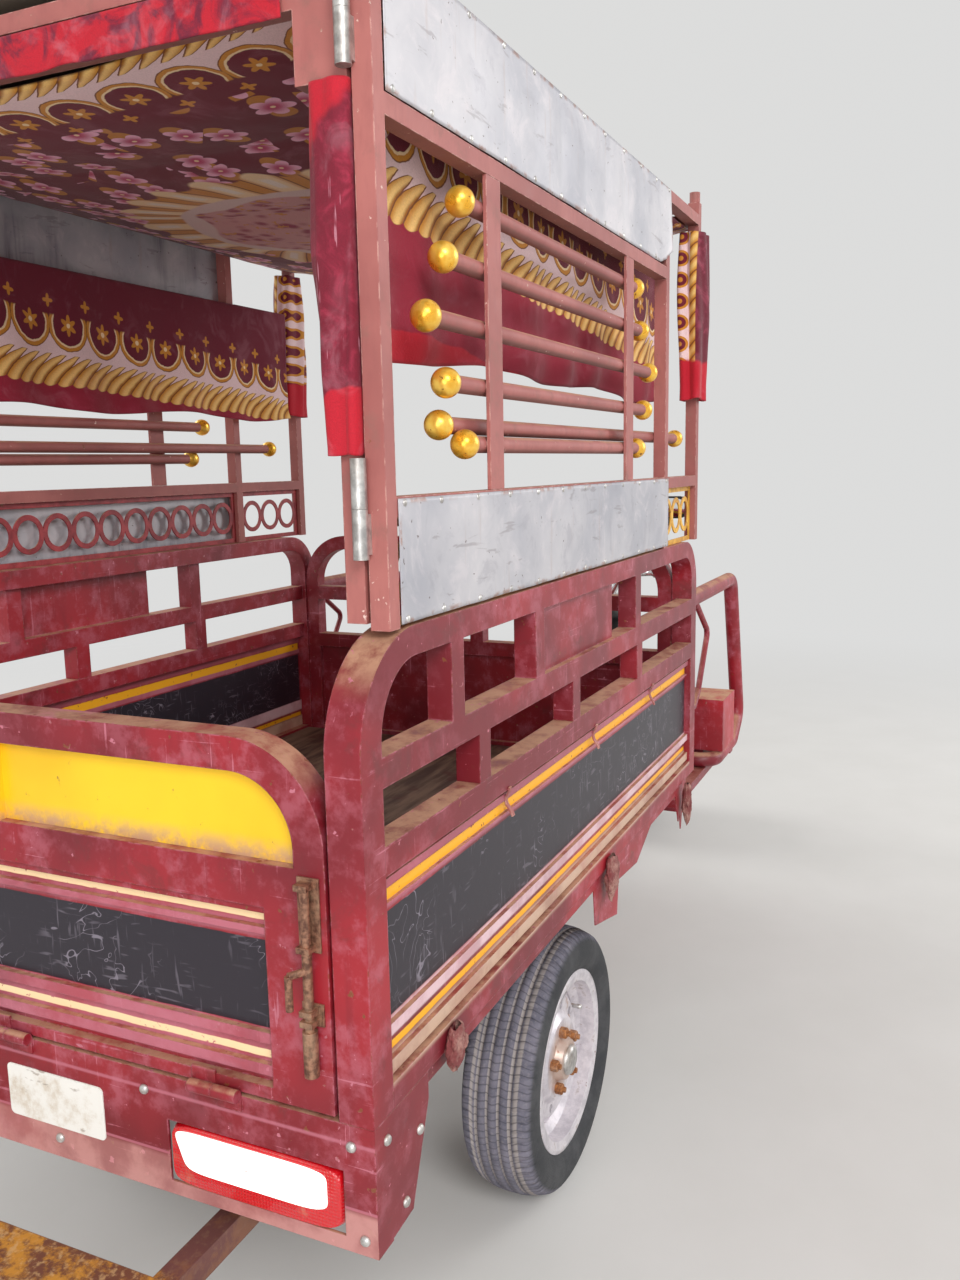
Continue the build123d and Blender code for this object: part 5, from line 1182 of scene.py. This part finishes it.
def zinc_sheet(name, node, side, torn):
    """One nailed sheet with dents and a wavy edge; torn lifts its front lower corner."""
    low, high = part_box(node)
    length = high.x - low.x
    nail_pitch = 0.12
    nail_rows = (0.035, 0.965)
    tear_start = 0.93
    tear_height = 0.036
    margin = 0.0015

    def point(u, v):
        x = low.x + length * u
        wave = 0.0016 * ripple(x * 9, 0, side, 3.0)
        foot = low.z + margin + wave
        if torn:
            ragged = 0.004 * ripple(x * 60, 1, 0, 2.0) * (u > 0.95)
            foot += tear_height * max(0.0, (u - tear_start) / 0.07) ** 1.6 + ragged
        z = foot + (high.z - margin - foot) * v
        bay = abs(sin(pi * (x - low.x) / nail_pitch)) * sin(pi * v)
        dent = 0.0012 * bay * (0.6 + ripple(x * 4, z * 4, side, 1.0))
        dent += 0.0030 * max(0.0, ripple(x * 3.1, z * 7, side, 5.0)) * sin(pi * v)
        curl = 0.006 * max(0.0, (u - 0.94) / 0.06) ** 2 * (1 - v) if torn else 0.0
        return (x, side * (high.y - 0.0008 + dent + curl), z)

    shape = grid(220, 28, point)
    piece = thick_piece(name, shape, materials["galvanised"], "root", 0.0012)
    heads = []
    nail = ((0.0, 0.0048), (0.0012, 0.0045), (0.0022, 0.0028), (0.0025, 0.0002))
    for row in nail_rows:
        for number in range(round(length / nail_pitch) + 1):
            share = min(0.985, max(0.012, number * nail_pitch / length))
            if torn and share > tear_start and row < 0.5:
                continue
            x, y, z = point(share, row)
            heads.append(turned(nail, 10, (x, y + side * 0.0004, z), way=side))
    new_piece(f"{name}_nails", joined(heads), materials["steel_plate"], "root")
    return piece


sheets = (
    # piece, node, side, torn
    ("sheet_upper_right", "upper_sheets", -1, True),
    ("sheet_upper_left", "upper_sheets", 1, False),
    ("sheet_lower_right", "lower_sheets", -1, False),
    ("sheet_lower_left", "lower_sheets", 1, False),
)
for piece_name, node_name, side, torn in sheets:
    zinc = zinc_sheet(piece_name, node_name, side, torn)
    if side < 0:
        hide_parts(node_name)


# Lamps and mirrors

def lens_block(name, centre_y, half_y, low_z, high_z, back_x, front_x, slant, material):
    """A moulded lens with a rolled edge; slant leans its inner end."""
    side = 1 if centre_y > 0 else -1

    def point(u, v):
        upward, across = round_square(full_turn * u, 7)
        rise = min(1.0, v * 2.2)
        shrink = 1.0 - 0.05 * rise ** 3 if v < 0.5 else max(0.02, 0.95 * (1 - (v - 0.5) / 0.5))
        flat = min(1.0, v / 0.45)
        y = centre_y + half_y * across * shrink
        z = (low_z + high_z) / 2 + (high_z - low_z) / 2 * upward * shrink
        lean = slant * max(0.0, -side * across) * (1 - upward) * 0.5 * shrink
        x = back_x + (front_x - back_x) * flat - 0.002 * max(0.0, v - 0.5)
        return (x, y + side * lean, z)

    return new_piece(name, grid(96, 20, point, closed=True), material, "root")


def tail_lights():
    """Each rear lamp: a red moulding round a lit clear lens with a slanted inner end."""
    low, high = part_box("tail_lamps")
    clear = lens("lamp_clear", light(250, 244, 240), glow=0.9)
    inner = 0.2883
    rim = 0.008
    low_rim = 0.026
    half_y = (high.y - inner) / 2
    for side, name in ((-1, "right"), (1, "left")):
        centre_y = side * (high.y + inner) / 2
        red = lens_block(f"tail_red_{name}", centre_y, half_y, low.z, high.z, back_x=high.x,
                         front_x=low.x + rim / 2, slant=0.0, material=materials["lamp_lens"])
        lens_block(f"tail_clear_{name}", centre_y - side * rim, half_y - 2 * rim, low.z + low_rim,
                   high.z - rim, back_x=low.x + rim, front_x=low.x, slant=0.022, material=clear)
        if side < 0:
            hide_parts("tail_lamps")


def headlight():
    """Chrome ring and ribbed glass on the front of the headlamp."""
    low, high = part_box("headlamp")
    centre = (high.x - 0.002, 0.0, (low.z + high.z) / 2)
    segments = 72
    glass_radius = 0.067
    glass_rise = 0.0045
    glass_start = 0.0015
    ring = ((-0.012, 0.0805), (-0.004, 0.0822), (0.002, 0.0800), (0.006, 0.0740), (0.004, 0.0680),
            (-0.002, 0.0655))
    glass = [(glass_rise * (1 - (r / glass_radius) ** 2) + glass_start, r) for r in
             (glass_radius, 0.060, 0.050, 0.040, 0.030, 0.020, 0.010, 0.0003)]
    chrome = materials["bar_chrome"]
    clear = lens("glass_clear", light(206, 208, 206))
    new_piece("headlamp_ring", turned(ring, segments, centre, "X"), chrome, "steering")
    new_piece("headlamp_glass", turned(glass, segments, centre, "X"), clear, "steering")


def signals():
    """Amber lenses on the front and rear faces of the turn signals."""
    signal_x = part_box("headlamp_bracket")[1].x - 0.014 - 0.040
    signal_y = 0.185
    signal_z = 0.900
    face = 0.0222
    shapes = []
    dome = ((0.0, 0.0252), (0.004, 0.0250), (0.008, 0.0225), (0.011, 0.0150), (0.012, 0.0002))
    for side in both_sides:
        for way in both_sides:
            place = (signal_x + way * face, side * signal_y, signal_z)
            shapes.append(turned(dome, 32, place, "X", way))
    amber = lens("lamp_amber", light(240, 130, 20))
    new_piece("signal_lenses", joined(shapes), amber, "steering")


def mirror_glass():
    """Silvered faces of the two mirrors, looking to the rear."""
    low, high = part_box("mirrors")
    half_wide = 0.054
    half_high = 0.032
    shapes = []
    for side in both_sides:
        def point(u, v):
            upward, across = round_square(full_turn * u, 3.2)
            reach = max(0.01, 1 - v)
            x = low.x - 0.0006 - 0.0012 * v * (2 - v)
            y = side * (high.y - 0.060) + half_wide * across * reach
            return (x, y, high.z - 0.038 + half_high * upward * reach)
        shapes.append(grid(64, 8, point, closed=True))
    new_piece("mirror_faces", joined(shapes), mirror_silver(), "steering")


tail_lights()
headlight()
signals()
mirror_glass()


# Driver's seat

def seat():
    """Padded saddle with a dipped middle, raised rear, welted edge and sewn channels."""
    low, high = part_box("driver_seat")
    half_y = high.y
    length = high.x - low.x
    inner = 0.010
    cushion_height = 0.078
    rear_rise = 0.044
    nose_rise, nose_fall = 0.010, 0.020
    channel_count = 9
    channel_deep = 0.004
    flank = 0.86

    def crown(share):
        """Height of the cushion's middle along the seat, from the rear."""
        back = rear_rise * max(0.0, 1 - share / 0.30) ** 1.5
        nose = max(0.0, (share - 0.86) / 0.14) ** 2
        return cushion_height + back + nose_rise * share - nose_fall * nose

    def point(share, turn):
        across = -cos(pi * turn)
        up = sin(pi * turn) ** 0.55
        end = 1 - abs(2 * share - 1) ** 8
        pull = 0.94 + 0.06 * end ** 0.5
        x = low.x + inner / 2 + (length - inner) * share
        channel = 0.0
        if abs(across) < flank:
            channel = channel_deep * max(0.0, 1 - abs(((share * channel_count) % 1) - 0.5) / 0.09)
        height = (crown(share) - channel) * up * (0.25 + 0.75 * end ** 0.4)
        y = (half_y - 0.004) * across * pull * (1 + 0.015 * up)
        wrinkle = 0.0012 * ripple(x * 14, y * 14, 0, 6.0) * up
        return (x, max(-half_y, min(half_y, y)), low.z + 0.001 + height + wrinkle)

    rows, columns = 72, 56
    wide = columns + 1
    vertices, faces = grid(rows, columns, point)
    below = len(vertices)
    vertices.extend([(x, y, low.z + 0.0005) for x, y, z in vertices])
    faces.extend([tuple(below + index for index in reversed(face)) for face in faces])
    for a in range(0, rows * wide, wide):
        b = a + wide
        faces.append((a, b, below + b, below + a))
        faces.append((b + columns, a + columns, below + a + columns, below + b + columns))
    last = rows * wide
    for j in range(columns):
        faces.append((j + 1, j, below + j, below + j + 1))
        faces.append((last + j, last + j + 1, below + last + j + 1, below + last + j))
    leather = materials["seat_leather"]
    piece = new_piece("seat_pad", (vertices, faces), leather, "root")
    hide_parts("driver_seat")
    welt = []
    count = 220
    welt_sides = 8
    welt_radius = 0.004
    for i in range(count):
        angle = full_turn * i / count
        across, ahead = round_square(angle, 8)
        centre = Vector((low.x + length / 2 + (length / 2 - 0.005) * ahead,
                         (half_y - 0.006) * across, low.z + 0.012))
        outward = Vector((cos(angle), sin(angle), 0)).normalized()
        for k in range(welt_sides):
            turn = full_turn * k / welt_sides
            welt.append(centre + welt_radius * (cos(turn) * outward + sin(turn) * Vector((0, 0, 1))))
    shape = welt, quads(count, welt_sides, around=True, ring=True)
    new_piece("seat_welt", shape, leather, "root")


seat()


# Small things on the bed's sides and rear

def strip(path, width, thickness, along):
    """The shape of a flat strip through path, width wide in direction along."""
    vertices = []
    for number, place in enumerate(path):
        place = Vector(place)
        before = Vector(path[max(0, number - 1)])
        after = Vector(path[min(len(path) - 1, number + 1)])
        out = (after - before).normalized().cross(along).normalized() * thickness / 2
        for sideways, offset in ((-1, 1), (1, 1), (1, -1), (-1, -1)):
            vertices.append(place + along * (sideways * width / 2) + out * offset)
    last = (len(path) - 1) * 4
    faces = [(3, 2, 1, 0), *quads(len(path) - 1, 4, ring=True), (last, last + 1, last + 2, last + 3)]
    return vertices, faces


def ties():
    """Short bent straps over the yellow stripe of each bed side."""
    stations = (0.453, 0.898, 1.314)
    steps = 8
    top, drop, slant, bend = 0.994, 0.052, 0.012, 0.010
    shapes = []
    for side in both_sides:
        for station in stations:
            path = []
            for step in range(steps + 1):
                share = step / steps
                y = side * (half_width + 0.0022 - bend * sin(pi * share) ** 2)
                path.append((rear_x + station + slant * share, y, top - drop * share))
            shapes.append(strip(path, width=0.009, thickness=0.003, along=Vector((1, 0, 0))))
    paint = materials["canopy_paint"]
    new_piece("side_ties", joined(shapes), paint, "root", smooth=False)


def rag(name, centre, size, seed, material):
    """A crumpled scrap of dusty cloth tied at the sill."""
    def point(u, v):
        angle = full_turn * u
        lump = 1 + 0.32 * ripple(cos(angle) * 2.2, sin(angle) * 2.2, v * 5, seed)
        lump += 0.16 * ripple(cos(angle) * 5, sin(angle) * 5, v * 12, seed + 2)
        reach = (sin(pi * min(1.0, 0.08 + v * 0.92)) ** 0.6 + 0.05) * lump
        x = centre[0] + size[0] * cos(angle) * reach
        y = centre[1] + size[1] * sin(angle) * reach
        return (x, y, centre[2] + size[2] * (0.5 - v) + 0.010 * ripple(u * 4, v * 4, 0, seed + 5))

    new_piece(name, grid(72, 54, point, closed=True), material, "root")


def bolts():
    """Round bolt heads on the rear beam and on the sills' rear corners."""
    head = ((0.0, 0.0075), (0.002, 0.0075), (0.0045, 0.0055), (0.0055, 0.0002))
    segments = 16
    beam_x = rear_x - 0.0003
    shapes = []
    for y, z in ((0.590, 0.640), (0.250, 0.640), (0.606, 0.510), (0.080, 0.520)):
        for side in both_sides:
            shapes.append(turned(head, segments, (beam_x, side * y, z), "X", way=-1))
    for side in both_sides:
        for station, z in ((0.030, 0.640), (0.075, 0.520), (0.120, 0.600)):
            shapes.append(turned(head, segments, (rear_x + station, side * half_width, z), way=side))
    new_piece("beam_bolts", joined(shapes), materials["steel_plate"], "root")


ties()
rag_cloth = rag_surface()
rags = (
    # piece, station, height, half sizes along and across with the full height, seed
    ("rag_rear", 0.225, 0.668, (0.026, 0.010, 0.070), 1.0),
    ("rag_middle", 0.980, 0.646, (0.034, 0.010, 0.095), 5.0),
    ("rag_front", 1.640, 0.606, (0.020, 0.011, 0.115), 9.0),
)
for piece_name, station, height, size, seed in rags:
    rag(piece_name, (rear_x + station, -half_width - 0.008, height), size, seed, rag_cloth)
bolts()


# Stage, light and camera

backdrop = (0.72, 0.72, 0.715, 1.0)
sky_strength = 0.55


def make_camera():
    forward = Vector((cos(camera_pitch) * cos(camera_yaw), cos(camera_pitch) * sin(camera_yaw),
                      sin(camera_pitch)))
    right = Vector((sin(camera_yaw), -cos(camera_yaw), 0.0))
    upward = right.cross(forward)
    tilted_right = cos(camera_roll) * right + sin(camera_roll) * upward
    tilted_up = -sin(camera_roll) * right + cos(camera_roll) * upward
    data = bpy.data.cameras.new("photo_camera")
    data.lens = camera_lens
    data.sensor_width = sensor_width
    data.clip_start = 0.05
    camera = bpy.data.objects.new("photo_camera", data)
    turn = Matrix((tilted_right, tilted_up, -forward)).transposed()
    camera.matrix_world = Matrix.Translation(camera_place) @ turn.to_4x4()
    bpy.context.scene.collection.objects.link(camera)
    bpy.context.scene.camera = camera


def seen_rays(tree):
    """1 for what the camera and reflections look at, 0 for light that falls on things."""
    path = tree.nodes.new("ShaderNodeLightPath")
    either = tree.nodes.new("ShaderNodeMath")
    either.operation = "MAXIMUM"
    tree.links.new(path.outputs["Is Camera Ray"], either.inputs[0])
    tree.links.new(path.outputs["Is Glossy Ray"], either.inputs[1])
    return either.outputs[0]


def blend(tree, amount, first, second, output):
    """Leads two shaders, mixed by amount, to the tree's output."""
    choose = tree.nodes.new("ShaderNodeMixShader")
    for socket, source in zip(choose.inputs, (amount, first, second)):
        tree.links.new(source, socket)
    tree.links.new(choose.outputs[0], tree.nodes[output].inputs[0])


def make_floor():
    """A pale floor that fades into the backdrop away from the vehicle."""
    reach = 60.0
    fade_start, fade_end = 2.2, 7.0
    points = [(-reach, -reach, 0.0), (reach, -reach, 0.0), (reach, reach, 0.0), (-reach, reach, 0.0)]
    mesh = bpy.data.meshes.new("studio_floor")
    mesh.from_pydata(points, [], [(0, 1, 2, 3)])
    s = Surface("studio_floor", roughness=0.9)
    grain = s.noise(3.0, detail=5.0)
    plain = s.finish(s.mix(grain, light(214, 212, 208), light(224, 222, 219)))
    s.shader.inputs["Specular IOR Level"].default_value = 0.0
    seen = s.tree.nodes.new("ShaderNodeEmission")
    seen.inputs["Color"].default_value = backdrop
    far = s.step(s.length(s.x, s.y), fade_start, fade_end) * Signal(s, seen_rays(s.tree))
    blend(s.tree, far.socket, s.shader.outputs[0], seen.outputs[0], "Material Output")
    mesh.materials.append(plain)
    floor = bpy.data.objects.new("studio_floor", mesh)
    bpy.context.scene.collection.objects.link(floor)


def make_world():
    world = bpy.data.worlds.new("studio")
    world.use_nodes = True
    tree = world.node_tree
    lit = tree.nodes["Background"]
    lit.inputs["Color"].default_value = (1.0, 1.0, 1.0, 1.0)
    lit.inputs["Strength"].default_value = sky_strength
    seen = tree.nodes.new("ShaderNodeBackground")
    seen.inputs["Color"].default_value = backdrop
    blend(tree, seen_rays(tree), lit.outputs[0], seen.outputs[0], "World Output")
    bpy.context.scene.world = world


def make_lamp(name, place, target, size, power):
    data = bpy.data.lights.new(name, "AREA")
    data.shape = "DISK"
    data.size = size
    data.energy = power
    lamp = bpy.data.objects.new(name, data)
    lamp.location = place
    aim = Vector(target) - Vector(place)
    lamp.rotation_euler = aim.to_track_quat("-Z", "Y").to_euler()
    bpy.context.scene.collection.objects.link(lamp)


make_camera()
make_floor()
make_world()
lamps = (
    # name, place, target, size, power
    ("key", (-5.5, -4.5, 4.8), (0.0, 0.0, 1.0), 3.0, 280.0),
    ("low", (-7.0, -2.2, 1.9), (-0.6, 0.0, 1.8), 3.0, 110.0),
    ("fill", (4.5, -5.5, 3.5), (0.4, 0.0, 0.8), 3.5, 170.0),
    ("back", (1.0, 6.5, 4.5), (0.0, 0.0, 1.0), 4.0, 200.0),
)
for lamp in lamps:
    make_lamp(*lamp)
bpy.context.scene.view_settings.view_transform = "Standard"
